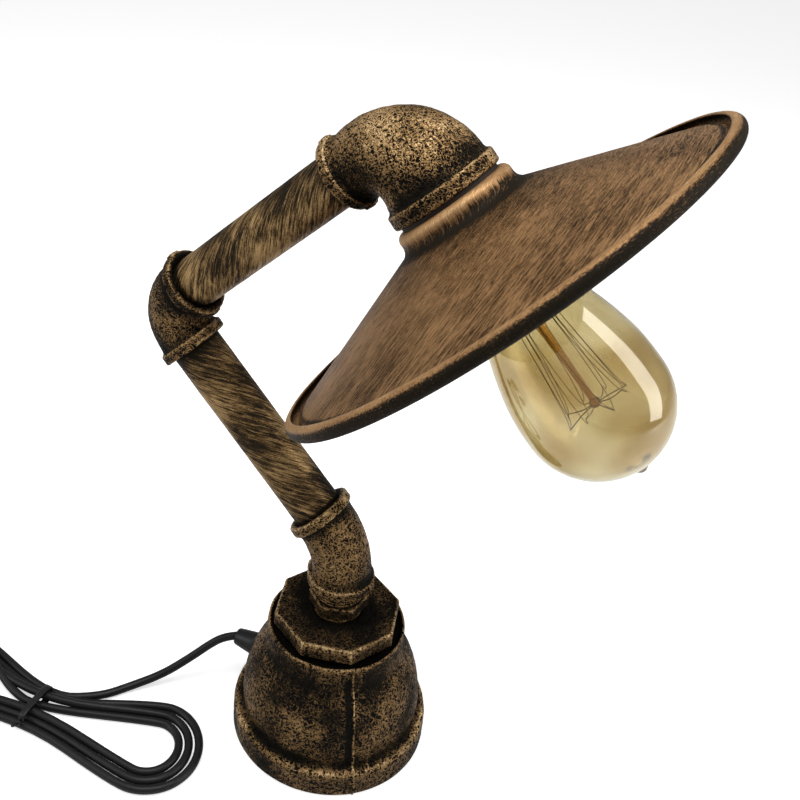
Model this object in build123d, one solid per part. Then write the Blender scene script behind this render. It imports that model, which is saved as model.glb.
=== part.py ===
from build123d import *
import math
import os
from dataclasses import dataclass

# Industrial pipe table lamp: a cast reducing socket as the foot, two lengths of 3/4 in pipe joined
# by malleable elbows, a reducing elbow that carries an E27 lampholder, a spun steel shade and a
# pear-shaped filament bulb.
# Frame: millimetres, +Z up, origin at the centre of the foot's underside. The two pipes lie in the
# XZ plane, the lower one leans towards -X and the shade opens towards +X and down.

# ---------------------------------------------------------------- fits
running_gap = 0.05        # radial clearance of a thread or a turning fit
press_gap = 0.02          # radial clearance of a piece that is glued or pressed in
seat_gap = 0.3            # clearance beside a soft, thin or curved neighbour

# ---------------------------------------------------------------- 3/4 in pipe and fittings
pipe_od = 26.9
pipe_bore = 21.7
thread_od = 26.4          # pipe thread, kept as a plain cylinder
grip = 13.0               # length of thread in a fitting
thread_deep = 14.0        # depth of a fitting's thread
collar_od = 36.5          # banded end of a fitting
collar_len = 5.6
fitting_od = 32.0         # cast body between the bands
fitting_way = 21.0        # way through a fitting
mouth_od = 31.0           # countersink at the mouth of a fitting
mouth_deep = 2.4
edge_round = 0.8          # rounded casting edges
heel = 1.4                # sloped run-out from a band to the body
lug_wide = 7.0            # casting lug on a band, in the bend's plane
lug_rise = 0.8
leg_45 = 24.1             # 45 degree elbow, corner to face
leg_90 = 26.9             # 90 degree elbow, corner to face
lower_pipe_show = 108.1   # pipe between two faces
upper_pipe_show = 108.8

# ---------------------------------------------------------------- reducing elbow at the head
leg_head_in = 37.1        # corner to the 3/4 in face
leg_head_out = 33.5       # corner to the 1 1/4 in face
head_thread_od = 41.9
head_thread_deep = 10.5
head_collar_od = 54.6
head_collar_len = 7.0
head_mouth_od = 46.0
head_neck_od = 32.6       # cast body behind the small band
head_middle_od = 43.5     # at the middle of the bend
head_body_od = 48.6       # and behind the large band
head_way = 37.0           # way through at the large end

# ---------------------------------------------------------------- foot: 3 in x 2 in reducing socket
foot_od = 110.4
foot_band_h = 16.5
foot_band_round = 1.6
foot_h = 75.5
foot_top_od = 76.2
foot_top_h = 15.0         # straight top band
foot_ledge = 4.7          # ledge between the band and the bell
ledge_slope = 0.6
root_h = 2.6              # hollow where the bell leaves the ledge
root_in = 0.9
bell_straight = 8.0       # steep start of the bell
bell_middle = 0.76        # share of the bell's fall still left at 0.55 of the height
bell_shoulder = 0.33      # and at 0.72 of the height
foot_wall = 6.5
foot_band_wall = 11.25
foot_thread_bore = foot_od - 2 * foot_band_wall   # 3 in thread at the bottom
foot_thread_deep = 26.0
top_thread_od = 59.6      # 2 in thread
top_thread_deep = 24.0
top_mouth = 2.5           # countersink of the top thread
thread_step = 1.5         # casting's bore inside the end of a thread
seam_turn = -50.0         # where the mould's parting line runs down the bell
seam_wide = 1.2
seam_rise = 0.7
seam_low_lug = (9.0, 17.0)    # width and height of the wide lug on the ledge
seam_top_lug = (5.0, 8.0)     # and of the one under the rim
seam_top_gap = 3.0            # rim to the top of the parting line

# ---------------------------------------------------------------- bushing and nipple on the foot
bushing_lift = 0.6        # bushing head above the foot's rim
bushing_across = 65.0
bushing_head_h = 9.3
bushing_core_h = 6.0      # solid depth below the head
bushing_core_wall = 4.5
bushing_turn = 15.2
hex_across = 28.7
hex_h = 7.1
hex_turn = -8.3
nipple_show_low = 3.0     # thread showing under the hexagon
nipple_show_top = 9.2     # and over it
nipple_way = 19.0

# ---------------------------------------------------------------- bottom cover
cover_thick = 2.0
pad_thick = 2.5
pad_od = 84.0

# ---------------------------------------------------------------- lampholder and shade
washer_thick = 2.0
washer_od = 50.0
holder_od = 39.0          # outside of the threaded skirt
holder_wall = 2.2
holder_deep = 9.5         # part inside the elbow
holder_long = 31.0        # skirt below the elbow's face
holder_floor = 3.4        # top of the floor, below the elbow's face
holder_floor_thick = 3.0
shell_bore = 26.9         # brass screw shell
shell_wall = 0.45
shell_long = 19.0
shell_lift = 2.0          # shell above the floor
rivet_od = 4.4
rivet_tail = 3.0
tongue_wide = 5.0
tongue_thick = 0.6
tongue_long = 12.0
ring_od = 50.6
ring_h = 7.0
ring_edge = 1.0
ring_flange_h = 1.6       # plain part of the ring, against the shade
ring_notches = 12
ring_notch_od = 4.4

sheet = 1.0               # spun steel
shade_neck_od = 58.4
shade_neck_h = 9.0        # top of the neck to where the cone's slope starts
shade_neck_round = 3.0
shade_waist_round = 6.0
cone_fall = 20.5          # slope of the cone against the neck's plane, in degrees
shade_od = 235.0
bead_od = 7.6             # rolled rim
bead_roll = 270.0
bead_dip = 58.0           # the sheet turns down this much before it rolls back
bead_dip_round = 2.0

# ---------------------------------------------------------------- pear-shaped bulb with an E27 cap
bulb_seat = 7.6           # cap's contact below the elbow's face
bulb_od = 70.0
bulb_long = 140.0         # contact to the end of the glass
bulb_neck_od = 28.0
bulb_neck_at = 28.0
bulb_shoulder_od = 55.5
bulb_shoulder_at = 64.0
glass_wall = 0.8
cap_od = 26.3
cap_start = 5.0
cap_slope = 3.0
cap_end = 24.0
cap_lip_od = 29.0
cap_bend = 1.5
cap_wall = 0.5
cap_hole_od = 15.0
contact_od = 9.0
contact_h = 1.4
tip_od = 10.0             # sealed exhaust tip on the glass
tip_h = 3.5
stem_flare_at = 17.0
stem_flare_h = 2.0
stem_od = 12.0
stem_pinch_at = 30.0
stem_end = 106.0
stem_end_od = 2.4
hub_od = 4.4
hub_h = 3.0
wire_od = 0.5
hooks = 8
hook_reach = 15.0         # outer ring of hooks, near the tip
hook_reach_low = 9.0      # inner ring, near the cap
hook_low_at = 52.0

# ---------------------------------------------------------------- strain relief and cord
cord_od = 4.8
relief_z = 31.0
relief_sink = 2.0         # spot face inside the bell's widest radius
relief_long = 14.0        # sleeve, from the spot face to its tip
relief_seat_x = relief_sink + foot_ledge - foot_od / 2
relief_tip_x = relief_seat_x - relief_long
relief_wall = 6.3         # metal left between the two spot faces
relief_root_od = 13.4
relief_tip_od = 9.8
relief_tip_round = 1.2
relief_hole_od = 9.0
relief_nut_od = 15.0
relief_nut_h = 4.0
relief_shank_end = 1.2    # shank beyond the nut
inner_bend = 24.0         # bend of the cable inside the foot

lead_route = [            # from the relief down to the table and up to the hank
    (relief_tip_x, 0.0, relief_z),
    (-68.8, -2.4, 29.2),
    (-75.4, -6.8, 24.8),
    (-84.3, -15.4, 16.4),
    (-96.3, -27.5, 7.0),
    (-110.0, -41.5, 2.7),
    (-121.0, -56.7, 2.6),
]
tail_route = [            # from the hank's far end to the switch
    (-241.6, -93.2, 2.6),
    (-242.4, -102.5, 3.6),
    (-242.0, -111.5, 6.4),
    (-241.6, -120.0, 9.0),
]
plug_route = [            # from the switch round to the plug
    (-241.6, -178.0, 9.0),
    (-241.4, -190.8, 5.8),
    (-234.9, -203.6, 3.2),
    (-221.6, -211.6, 2.6),
    (-206.2, -211.8, 2.7),
    (-192.6, -204.2, 3.2),
    (-185.9, -191.2, 4.6),
    (-185.6, -178.0, 7.0),
]

hank_h = 9.4
hank_edge = 2.0
waist = (-147.5, -81.3)   # middle of the bundle at the tie
waist_r = 12.5
near_lobe = (-77.0, -72.0)
near_lobe_r = 31.0
near_hole = (-74.5, -70.0)
near_hole_r = 14.5
near_hole_end = (-113.0, -76.2)
far_lobe = (-214.0, -82.0)
far_lobe_r = 30.0
far_hole = (-216.5, -82.0)
far_hole_r = 14.0
far_hole_end = (-182.0, -81.6)
hole_end_r = 2.0
tie_wide = 4.0
tie_thick = 1.2
tie_over = 0.8            # tie proud of the bundle
tie_round = 3.0
knot_od = 6.0

# ---------------------------------------------------------------- switch and plug on the cord
switch_long = 58.0
switch_wide = 25.0
switch_h = 18.0
switch_round = 9.0        # corners in plan
switch_edge = 2.5
switch_seam_z = 9.0
rocker_long = 18.0
rocker_wide = 9.0
rocker_deep = 3.0         # below its axle
rocker_tips_up = 5.4      # above its axle
rocker_middle_up = 4.4
rocker_tilt = 8.0
axle_od = 3.0
axle_z = 14.0
axle_stub = 2.0           # axle in each wall of the pocket
plug_long = 36.0
plug_wide = 26.0
plug_tail_wide = 10.0
plug_taper = 16.0
plug_h = 14.0
plug_edge = 1.5
pin_od = 4.0
pin_long = 19.0
pin_pitch = 18.6
pin_tip_round = 1.2


@dataclass
class End:
    """One threaded, banded end of a cast fitting."""

    thread_r: float
    deep: float
    collar_r: float
    collar_len: float
    mouth_r: float
    body_r: float


small_end = End(thread_od / 2, thread_deep, collar_od / 2, collar_len, mouth_od / 2, fitting_od / 2)
large_end = End(head_thread_od / 2, head_thread_deep, head_collar_od / 2, head_collar_len,
                head_mouth_od / 2, head_body_od / 2)

# ---------------------------------------------------------------- places along the arm
lean = Vector(-1, 0, 1).normalized()       # lower pipe
rise = Vector(1, 0, 1).normalized()        # upper pipe
drop = Vector(1, 0, -1).normalized()       # shade and bulb

bushing_z = foot_h + bushing_lift
nipple_z = bushing_z + bushing_head_h + nipple_show_low
face_z = nipple_z + hex_h + nipple_show_top
face_0 = Vector(0, 0, face_z)
corner_1 = face_0 + Vector(0, 0, leg_45)
face_1 = corner_1 + lean * leg_45
face_2 = face_1 + lean * lower_pipe_show
corner_2 = face_2 + lean * leg_90
face_3 = corner_2 + rise * leg_90
face_4 = face_3 + rise * upper_pipe_show
corner_3 = face_4 + rise * leg_head_in
face_5 = corner_3 + drop * leg_head_out

lower_elbow_at = Plane(corner_1, x_dir=(-1, 0, 0), z_dir=(0, 0, 1))
lower_pipe_at = Plane(face_1, x_dir=(0, 1, 0), z_dir=lean)
middle_elbow_at = Plane(corner_2, x_dir=rise, z_dir=lean)
upper_pipe_at = Plane(face_3, x_dir=(0, 1, 0), z_dir=rise)
head_elbow_at = Plane(corner_3, x_dir=drop, z_dir=rise)
head_at = Plane(face_5, x_dir=(0, 1, 0), z_dir=drop)     # +z runs out of the shade
bulb_at = head_at.offset(bulb_seat)                       # starts at the cap's contact
relief_at = Plane((relief_seat_x, 0, relief_z), x_dir=(0, 1, 0), z_dir=(1, 0, 0))
tie_at = Plane(waist + (0,), x_dir=(0, 1, 0), z_dir=(1, 0, 0))
switch_at = Plane(tail_route[-1][:2] + (0,), x_dir=(0, -1, 0), z_dir=(0, 0, 1))
plug_at = Plane(plug_route[-1], x_dir=(1, 0, 0), z_dir=(0, 1, 0))


# ---------------------------------------------------------------- shared shapes
def disc(radius, low, high):
    """Upright cylinder between two heights."""
    return Pos(0, 0, (low + high) / 2) * Cylinder(radius, high - low)


def taper(radius_low, radius_high, low, high):
    """Upright cone between two heights."""
    return Pos(0, 0, (low + high) / 2) * Cone(radius_low, radius_high, high - low)


def block(x_size, y_size, low, high):
    """Box about the Z axis between two heights."""
    return Pos(0, 0, (low + high) / 2) * Box(x_size, y_size, high - low)


def turned(*lines):
    """Solid of revolution about Z from a closed outline in (radius, height)."""
    outline = make_face([edge for line in lines for edge in line.edges()])
    return revolve(Plane.XZ * outline, Axis.Z, 360)


def bar_along(path, *radii):
    """Round bar along a path in the XZ plane; several radii are spread evenly from end to end."""
    if len(radii) == 1:
        return sweep(Plane(path @ 0, z_dir=path % 0) * Circle(radii[0]), path=path)
    spots = [k / (len(radii) - 1) for k in range(len(radii))]
    rings = [Plane(path @ t, x_dir=(0, 1, 0), z_dir=path % t) * Circle(r) for t, r in zip(spots, radii)]
    return sweep(rings, path=path, multisection=True)


def banded_end(end):
    """Collar, its heel and its two lugs; the face is at z = 0 and the body lies below it."""
    band = disc(end.collar_r, -end.collar_len, 0)
    band = fillet(band.edges().filter_by(GeomType.CIRCLE), edge_round)
    run_out = taper(end.body_r, end.body_r + heel, -end.collar_len - heel, -end.collar_len)
    lug_low, lug_high = edge_round - end.collar_len, -edge_round
    lug = disc(end.collar_r + lug_rise, lug_low, lug_high)
    lug &= block(4 * end.collar_r, lug_wide, lug_low, lug_high)
    return band + run_out + lug


def thread_cut(end):
    """Threaded hole and its countersunk mouth, opening at z = 0."""
    hole = disc(end.thread_r + running_gap, -end.deep, 1)
    return hole + taper(end.thread_r, end.mouth_r, -mouth_deep, 0)


def elbow(turn, leg_in, leg_out, end_in, end_out, bodies, ways):
    """Cast elbow with its corner at the origin. It comes in along +z and turns towards +x."""
    out = Vector(math.sin(math.radians(turn)), 0, math.cos(math.radians(turn)))
    straight = min(leg_in - end_in.collar_len, leg_out - end_out.collar_len) - heel
    bend = straight / math.tan(math.radians(turn / 2))
    path = FilletPolyline((0, 0, -leg_in), (0, 0, 0), out * leg_out, radius=bend)
    face_in = Plane((0, 0, -leg_in), x_dir=(1, 0, 0), z_dir=(0, 0, -1))
    face_out = Plane(out * leg_out, x_dir=out.cross(Vector(0, 1, 0)), z_dir=out)
    casting = bar_along(path, *bodies)
    casting += face_in * banded_end(end_in)
    casting += face_out * banded_end(end_out)
    casting -= bar_along(path, *ways)
    casting -= face_in * thread_cut(end_in)
    casting -= face_out * thread_cut(end_out)
    return casting


def threaded_pipe(show):
    """Pipe with a thread at each end; the part between two fittings starts at z = 0."""
    bar = disc(pipe_od / 2, 0, show)
    bar += disc(thread_od / 2, -grip, show + grip)
    return bar - disc(pipe_bore / 2, -grip, show + grip)


# ---------------------------------------------------------------- foot
def foot_outline():
    """Outer line of the foot in (radius, height), from the table up to the rim."""
    band_r = foot_od / 2
    bell_r = band_r - foot_ledge
    top_r = foot_top_od / 2
    fall = bell_r - top_r
    band_side = Line((band_r, 0), (band_r, foot_band_h - foot_band_round))
    band_edge = JernArc(band_side @ 1, (0, 1), foot_band_round, 75)
    ledge = Line(band_edge @ 1, (bell_r + ledge_slope, foot_band_h + 0.7 * ledge_slope))
    root = ThreePointArc(ledge @ 1, (bell_r - root_in, foot_band_h + root_h / 2),
                         (bell_r - 0.8 * root_in, foot_band_h + root_h))
    bell = Spline(root @ 1, (bell_r - 0.2 * root_in, foot_band_h + bell_straight),
                  (top_r + bell_middle * fall, foot_h * 0.55), (top_r + bell_shoulder * fall, foot_h * 0.72),
                  (top_r, foot_h - foot_top_h), tangents=((0.15, 1), (-0.2, 1)))
    top_side = Line(bell @ 1, (top_r, foot_h - edge_round))
    rim_edge = JernArc(top_side @ 1, (0, 1), edge_round, 90)
    return [band_side, band_edge, ledge, root, bell, top_side, rim_edge]


def half_section():
    """Half of the foot's outer section, as a face in the XZ plane."""
    outer = foot_outline()
    back = Polyline(outer[-1] @ 1, (0, foot_h), (0, 0), outer[0] @ 0)
    return Plane.XZ * make_face([edge for line in outer + [back] for edge in line.edges()])


def parting_line():
    """Raised mould line down one side, with a lug under the rim and a wide one on the ledge."""
    top_z = foot_h - seam_top_gap
    low_z = foot_band_h - foot_band_round
    low_wide, low_h = seam_low_lug
    top_wide, top_h = seam_top_lug
    ridge = extrude(half_section(), amount=seam_wide / 2, both=True)
    low_lug = extrude(half_section(), amount=-low_wide)
    low_lug &= block(2 * foot_od, 2 * foot_od, low_z, low_z + low_h)
    top_lug = extrude(half_section(), amount=top_wide)
    top_lug &= block(2 * foot_od, 2 * foot_od, top_z - top_h, top_z)
    raised = Pos(seam_rise, 0, 0) * (ridge + low_lug + top_lug)
    return raised & block(3 * foot_od, foot_od, 0, top_z)


def foot_cavity():
    """Room inside the foot: the bottom thread, the bell's inside and the top thread."""
    thread_r = top_thread_od / 2 + running_gap
    step_z = foot_h - top_thread_deep
    low_r = foot_thread_bore / 2
    bell_r = foot_od / 2 - foot_ledge
    shoulder_r = foot_top_od / 2 + bell_shoulder * (bell_r - foot_top_od / 2) - foot_wall
    top_cut = Polyline((0, foot_h + 1), (thread_r + top_mouth, foot_h + 1), (thread_r + top_mouth, foot_h),
                       (thread_r, foot_h - top_mouth), (thread_r, step_z),
                       (thread_r - thread_step, step_z - thread_step))
    inside = Spline(top_cut @ 1, (shoulder_r, foot_h * 0.61),
                    (low_r - thread_step, foot_thread_deep + bell_straight),
                    (low_r - thread_step, foot_thread_deep))
    low_cut = Polyline(inside @ 1, (low_r, foot_thread_deep), (low_r, -1), (0, -1), (0, foot_h + 1))
    return turned(top_cut, inside, low_cut)


def make_foot():
    """Bell shaped reducing socket, open below for the cover and above for the bushing."""
    inward = relief_wall + relief_nut_h + foot_wall
    body = revolve(half_section(), Axis.Z, 360)
    for side in (seam_turn, seam_turn + 180):
        body += Rot(0, 0, side) * parting_line()
    body -= foot_cavity()
    body -= relief_at * disc(relief_hole_od / 2 + press_gap, -1, inward)
    body -= relief_at * disc(relief_root_od / 2 + press_gap, -foot_od, 0)
    return body - relief_at * disc(relief_nut_od / 2 + seat_gap, relief_wall, inward)


def make_bushing():
    """Octagon bushing: 2 in thread below the head, 3/4 in thread through it, cored from below."""
    low = bushing_z - top_thread_deep + 1
    core = bushing_z - bushing_core_h
    head = extrude(RegularPolygon(bushing_across / 2, 8, major_radius=False, rotation=bushing_turn),
                   bushing_head_h)
    head = chamfer(head.edges().group_by(Axis.Z)[-1], edge_round)
    body = Pos(0, 0, bushing_z) * head
    body += disc(top_thread_od / 2, low, bushing_z)
    body -= taper(top_thread_od / 2 - bushing_core_wall, thread_od / 2 + bushing_core_wall, low, core)
    return body - disc(thread_od / 2 + running_gap, low, bushing_z + bushing_head_h)


def make_nipple():
    """Hexagon nipple between the bushing and the lower elbow."""
    low = bushing_z + bushing_head_h - grip
    nut = extrude(RegularPolygon(hex_across / 2, 6, major_radius=False, rotation=hex_turn), hex_h)
    nut = Pos(0, 0, nipple_z) * nut
    nut += disc(thread_od / 2, low, face_z + grip)
    return nut - disc(nipple_way / 2, low, face_z + grip)


def make_cover():
    """Steel disc pressed into the bottom of the foot."""
    return disc(foot_thread_bore / 2 - press_gap, pad_thick, pad_thick + cover_thick)


def make_pad():
    """Felt pad glued under the cover, level with the foot's edge."""
    return disc(pad_od / 2, 0, pad_thick)


# ---------------------------------------------------------------- elbows and pipes
def make_lower_elbow():
    """45 degree elbow that turns on the nipple."""
    return lower_elbow_at * elbow(45, leg_45, leg_45, small_end, small_end,
                                  [fitting_od / 2], [fitting_way / 2])


def make_lower_pipe():
    """Pipe from the 45 degree elbow up to the 90 degree one."""
    return lower_pipe_at * threaded_pipe(lower_pipe_show)


def make_middle_elbow():
    """90 degree elbow between the two pipes."""
    return middle_elbow_at * elbow(90, leg_90, leg_90, small_end, small_end,
                                   [fitting_od / 2], [fitting_way / 2])


def make_upper_pipe():
    """Pipe from the 90 degree elbow up to the head."""
    return upper_pipe_at * threaded_pipe(upper_pipe_show)


def make_head_elbow():
    """90 degree reducing elbow, 3/4 in to 1 1/4 in, with a swelling bend."""
    bodies = [head_neck_od / 2, head_middle_od / 2, head_body_od / 2]
    ways = [fitting_way / 2, (fitting_way + head_way) / 4, head_way / 2]
    return head_elbow_at * elbow(90, leg_head_in, leg_head_out, small_end, large_end, bodies, ways)


# ---------------------------------------------------------------- lampholder, ring and shade
def make_holder():
    """Moulded lampholder: a plug in the elbow, a threaded skirt and a floor across them."""
    skirt_r = holder_od / 2 - holder_wall
    shell_r = shell_bore / 2 + shell_wall + press_gap
    liner_end = holder_floor + shell_lift + shell_long + 1
    body = disc(head_thread_od / 2 - press_gap, -holder_deep, 0)
    body += disc(holder_od / 2, 0, holder_long)
    body -= disc(skirt_r, liner_end, holder_long)
    body -= disc(shell_r, holder_floor, liner_end)
    body -= disc(skirt_r - holder_wall, -holder_deep, holder_floor - holder_floor_thick)
    return head_at * (body - disc(rivet_od / 2, -holder_deep, holder_floor))


def make_screw_shell():
    """Brass E27 shell that the bulb's cap screws into."""
    low = holder_floor + shell_lift
    shell = disc(shell_bore / 2 + shell_wall, low, low + shell_long)
    return head_at * (shell - disc(shell_bore / 2, low, low + shell_long))


def make_centre_contact():
    """Sprung contact tongue on its rivet in the holder's floor."""
    rivet = disc(rivet_od / 2 - press_gap, -rivet_tail, holder_floor)
    strip = block(tongue_long, tongue_wide, holder_floor, holder_floor + tongue_thick)
    strip = Pos((tongue_long - tongue_wide) / 2, 0, 0) * strip
    tongue = block(tongue_wide, tongue_wide, holder_floor + tongue_thick, bulb_seat)
    return head_at * (rivet + strip + tongue)


def make_washer():
    """Fibre washer between the elbow's face and the shade."""
    ring = disc(washer_od / 2, 0, washer_thick)
    return head_at * (ring - disc(holder_od / 2 + seat_gap, 0, washer_thick))


def make_shade_ring():
    """Notched ring on the holder's thread that clamps the shade."""
    low = washer_thick + sheet
    ring = disc(ring_od / 2, low, low + ring_h)
    ring = fillet(ring.edges().group_by(Axis.Z)[-1], ring_edge)
    ring -= disc(holder_od / 2 + running_gap, low, low + ring_h)
    for k in range(ring_notches):
        spot = Rot(0, 0, k * 360 / ring_notches) * Pos(ring_od / 2 + ring_edge, 0, 0)
        ring -= spot * disc(ring_notch_od / 2, low + ring_flange_h, low + ring_h)
    return head_at * ring


def shade_centreline():
    """Middle of the sheet in (radius, depth), from the hole's edge to the end of the rolled rim."""
    half = sheet / 2
    fall = math.radians(cone_fall)
    side_r = shade_neck_od / 2 - half
    knee_z = washer_thick + shade_neck_h + half / math.cos(fall) - half * math.tan(fall)
    bead_r = bead_od / 2 - half
    bead_at = shade_od / 2 - bead_od / 2
    turned_down = fall + math.radians(bead_dip)
    end_r = bead_at + bead_dip_round * math.sin(fall) - (bead_dip_round + bead_r) * math.sin(turned_down)
    end_z = knee_z + (end_r - side_r) * math.tan(fall)
    neck = FilletPolyline((holder_od / 2 + seat_gap, washer_thick + half), (side_r, washer_thick + half),
                          (side_r, knee_z), (end_r, end_z),
                          radius=[shade_neck_round, shade_waist_round])
    dip = JernArc(neck @ 1, neck % 1, bead_dip_round, bead_dip)
    roll = JernArc(dip @ 1, dip % 1, bead_r, -bead_roll)
    return neck.edges() + dip.edges() + roll.edges()


def make_shade():
    """Spun shade: round-shouldered neck, shallow cone and a rim rolled back on itself."""
    skin = trace(shade_centreline(), line_width=sheet)
    return head_at * revolve(Plane.XZ * skin, Axis.Z, 360)


# ---------------------------------------------------------------- bulb
def glass_solid(inset):
    """Solid under the glass's outline, moved in by inset, with its neck inside the cap."""
    neck_r = bulb_neck_od / 2 - inset
    shoulder_r = bulb_shoulder_od / 2 - inset
    wide_r = bulb_od / 2 - inset
    throat_r = cap_od / 2 - cap_wall - seat_gap - inset
    wide_at = bulb_long - bulb_od / 2
    side = Spline((neck_r, bulb_neck_at), (shoulder_r, bulb_shoulder_at), (wide_r, wide_at),
                  tangents=((0.3, 1), (0, 1)))
    crown = ThreePointArc((wide_r, wide_at), (wide_r * math.sqrt(0.5), wide_at + wide_r * math.sqrt(0.5)),
                          (0, wide_at + wide_r))
    neck = Polyline((0, wide_at + wide_r), (0, stem_flare_at), (throat_r, stem_flare_at),
                    (throat_r, bulb_neck_at - cap_slope), (neck_r, bulb_neck_at))
    return turned(side, crown, neck)


def make_bulb_glass():
    """Thin glass envelope with the sealed exhaust tip."""
    tip = disc(tip_od / 2, bulb_long - 2 * glass_wall, bulb_long + tip_h)
    tip = fillet(tip.edges().group_by(Axis.Z)[-1], tip_h * 0.8)
    return bulb_at * (glass_solid(0) + tip - glass_solid(glass_wall))


def make_bulb_cap():
    """Screw cap: a thin brass cup with a flared lip under the glass."""
    side_r = cap_od / 2 - cap_wall / 2
    line = FilletPolyline((cap_hole_od / 2, cap_start), (side_r, cap_start + cap_slope), (side_r, cap_end),
                          (cap_lip_od / 2, bulb_neck_at), radius=cap_bend)
    skin = trace(line.edges(), line_width=cap_wall)
    return bulb_at * revolve(Plane.XZ * skin, Axis.Z, 360)


def make_cap_insulator():
    """Black glass insulator in the cap's end."""
    edge_r = cap_hole_od / 2 - seat_gap
    body = taper(contact_od / 2, edge_r, contact_h, cap_start)
    return bulb_at * (body + disc(edge_r - cap_wall, cap_start, cap_start + cap_slope))


def make_cap_contact():
    """Centre contact of the cap."""
    button = disc(contact_od / 2, 0, contact_h)
    return bulb_at * fillet(button.edges().group_by(Axis.Z)[0], contact_h * 0.6)


def make_stem():
    """Glass stem: a flare that seals the neck and a tapered rod with the hub at its end."""
    throat_r = cap_od / 2 - cap_wall - seat_gap - glass_wall
    rod = disc(throat_r - press_gap, stem_flare_at, stem_flare_at + stem_flare_h)
    rod += disc(stem_od / 2, stem_flare_at, stem_pinch_at)
    rod += taper(stem_od / 2, stem_end_od / 2, stem_pinch_at, stem_end)
    return bulb_at * (rod + disc(hub_od / 2, stem_end - hub_h, stem_end))


def spot_at(turn, reach, z):
    """Point at a turn about the bulb's axis, a reach from it and a height."""
    a = math.radians(turn)
    return Vector(reach * math.cos(a), reach * math.sin(a), z)


def wire(start, end):
    """Straight piece of wire."""
    run = end - start
    return Plane(start, z_dir=run) * disc(wire_od / 2, 0, run.length)


def make_filament():
    """Carbon thread laced up and down between the two rings of hooks."""
    spots = []
    for k in range(hooks):
        turn = 360 * k / hooks
        spots.append(spot_at(turn, hook_reach, stem_end))
        spots.append(spot_at(turn + 180 / hooks, hook_reach_low, hook_low_at))
    thread = Part()
    for start, end in zip(spots, spots[1:]):
        thread += wire(start, end)
    return bulb_at * thread


def make_hooks():
    """Two rings of support wires that stand out of the stem and the hub."""
    short = wire_od / 2 + seat_gap
    slope = (stem_od - stem_end_od) / 2 / (stem_end - stem_pinch_at)
    low_root = stem_od / 2 - slope * (hook_low_at - stem_pinch_at)
    made = Part()
    for k in range(hooks):
        turn = 360 * k / hooks
        half_way = turn + 180 / hooks
        made += wire(spot_at(turn, hub_od / 2, stem_end - wire_od), spot_at(turn, hook_reach - short, stem_end))
        made += wire(spot_at(half_way, low_root, hook_low_at),
                     spot_at(half_way, hook_reach_low - short, hook_low_at))
    return bulb_at * made


# ---------------------------------------------------------------- cable inside the pipes
def inner_cable(start, corner, end, bend):
    """Cable in the bores from one turning joint to the next, round one corner."""
    return bar_along(FilletPolyline(start, corner, end, radius=bend), cord_od / 2)


def make_foot_cable():
    """From the relief's shank in and up to the lower elbow's face."""
    shank = relief_seat_x + relief_wall + relief_nut_h + relief_shank_end
    return inner_cable((shank, 0, relief_z), (0, 0, relief_z), face_0, inner_bend)


def make_lower_cable():
    """Through the lower elbow and the lower pipe."""
    return inner_cable(face_0, corner_1, face_2, 0.95 * leg_45 / math.tan(math.radians(22.5)))


def make_upper_cable():
    """Through the middle elbow and the upper pipe."""
    return inner_cable(face_2, corner_2, face_4, 0.95 * leg_90)


def make_head_cable():
    """Through the head elbow to the holder's rivet."""
    rivet_end = face_5 - drop * rivet_tail
    return inner_cable(face_4, corner_3, rivet_end, 0.9 * (leg_head_out - rivet_tail))


# ---------------------------------------------------------------- cord outside
def make_relief():
    """Moulded strain relief: a tapered sleeve outside and a plain shank through the wall."""
    sleeve = taper(relief_tip_od / 2, relief_root_od / 2, relief_tip_x - relief_seat_x, 0)
    sleeve = fillet(sleeve.edges().group_by(Axis.Z)[0], relief_tip_round)
    shank = disc(relief_hole_od / 2, 0, relief_wall + relief_nut_h + relief_shank_end)
    return relief_at * (sleeve + shank)


def make_relief_nut():
    """Nut on the relief's shank, inside the foot."""
    nut = disc(relief_nut_od / 2, relief_wall, relief_wall + relief_nut_h)
    return relief_at * (nut - disc(relief_hole_od / 2 + press_gap, relief_wall, relief_wall + relief_nut_h))


def corner_radii(points):
    """Arc radius at each inner point: 0.45 of the shorter run over the tangent of half the turn."""
    spots = [Vector(*p) for p in points]
    radii = []
    for before, here, after in zip(spots, spots[1:], spots[2:]):
        run_in = here - before
        run_out = after - here
        half_turn = math.radians(run_in.get_angle(run_out) / 2)
        radii.append(0.45 * min(run_in.length, run_out.length) / math.tan(half_turn))
    return radii


def cord_tube(name, points):
    """Cord along straight runs and tangent arcs; prints its bends and its volume check."""
    radii = corner_radii(points)
    path = FilletPolyline(*points, radius=radii)
    tube = bar_along(path, cord_od / 2)
    share = tube.volume / (path.length * math.pi * (cord_od / 2) ** 2)
    print(name, "length", round(path.length, 1), "radii", [round(r, 1) for r in radii],
          "volume share", round(share, 4))
    return tube


def make_lead():
    """Cord from the relief to the hank."""
    return cord_tube("lead", lead_route)


def make_tail():
    """Cord from the hank to the switch."""
    return cord_tube("tail", tail_route)


def make_plug_lead():
    """Cord from the switch to the plug."""
    return cord_tube("plug lead", plug_route)


def hull_of(spot_a, radius_a, spot_b, radius_b):
    """Outline round two circles."""
    circle_a = Pos(*spot_a) * Circle(radius_a)
    circle_b = Pos(*spot_b) * Circle(radius_b)
    return make_hull(circle_a.edges() + circle_b.edges())


def tie_section(inset):
    """Section of the tie round the bundle, moved in by inset; x runs across the bundle, y is up."""
    high = hank_h + tie_over
    wide = 2 * (waist_r + tie_over)
    return Pos(0, high / 2) * RectangleRounded(wide - 2 * inset, high - 2 * inset, tie_round - inset)


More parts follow.
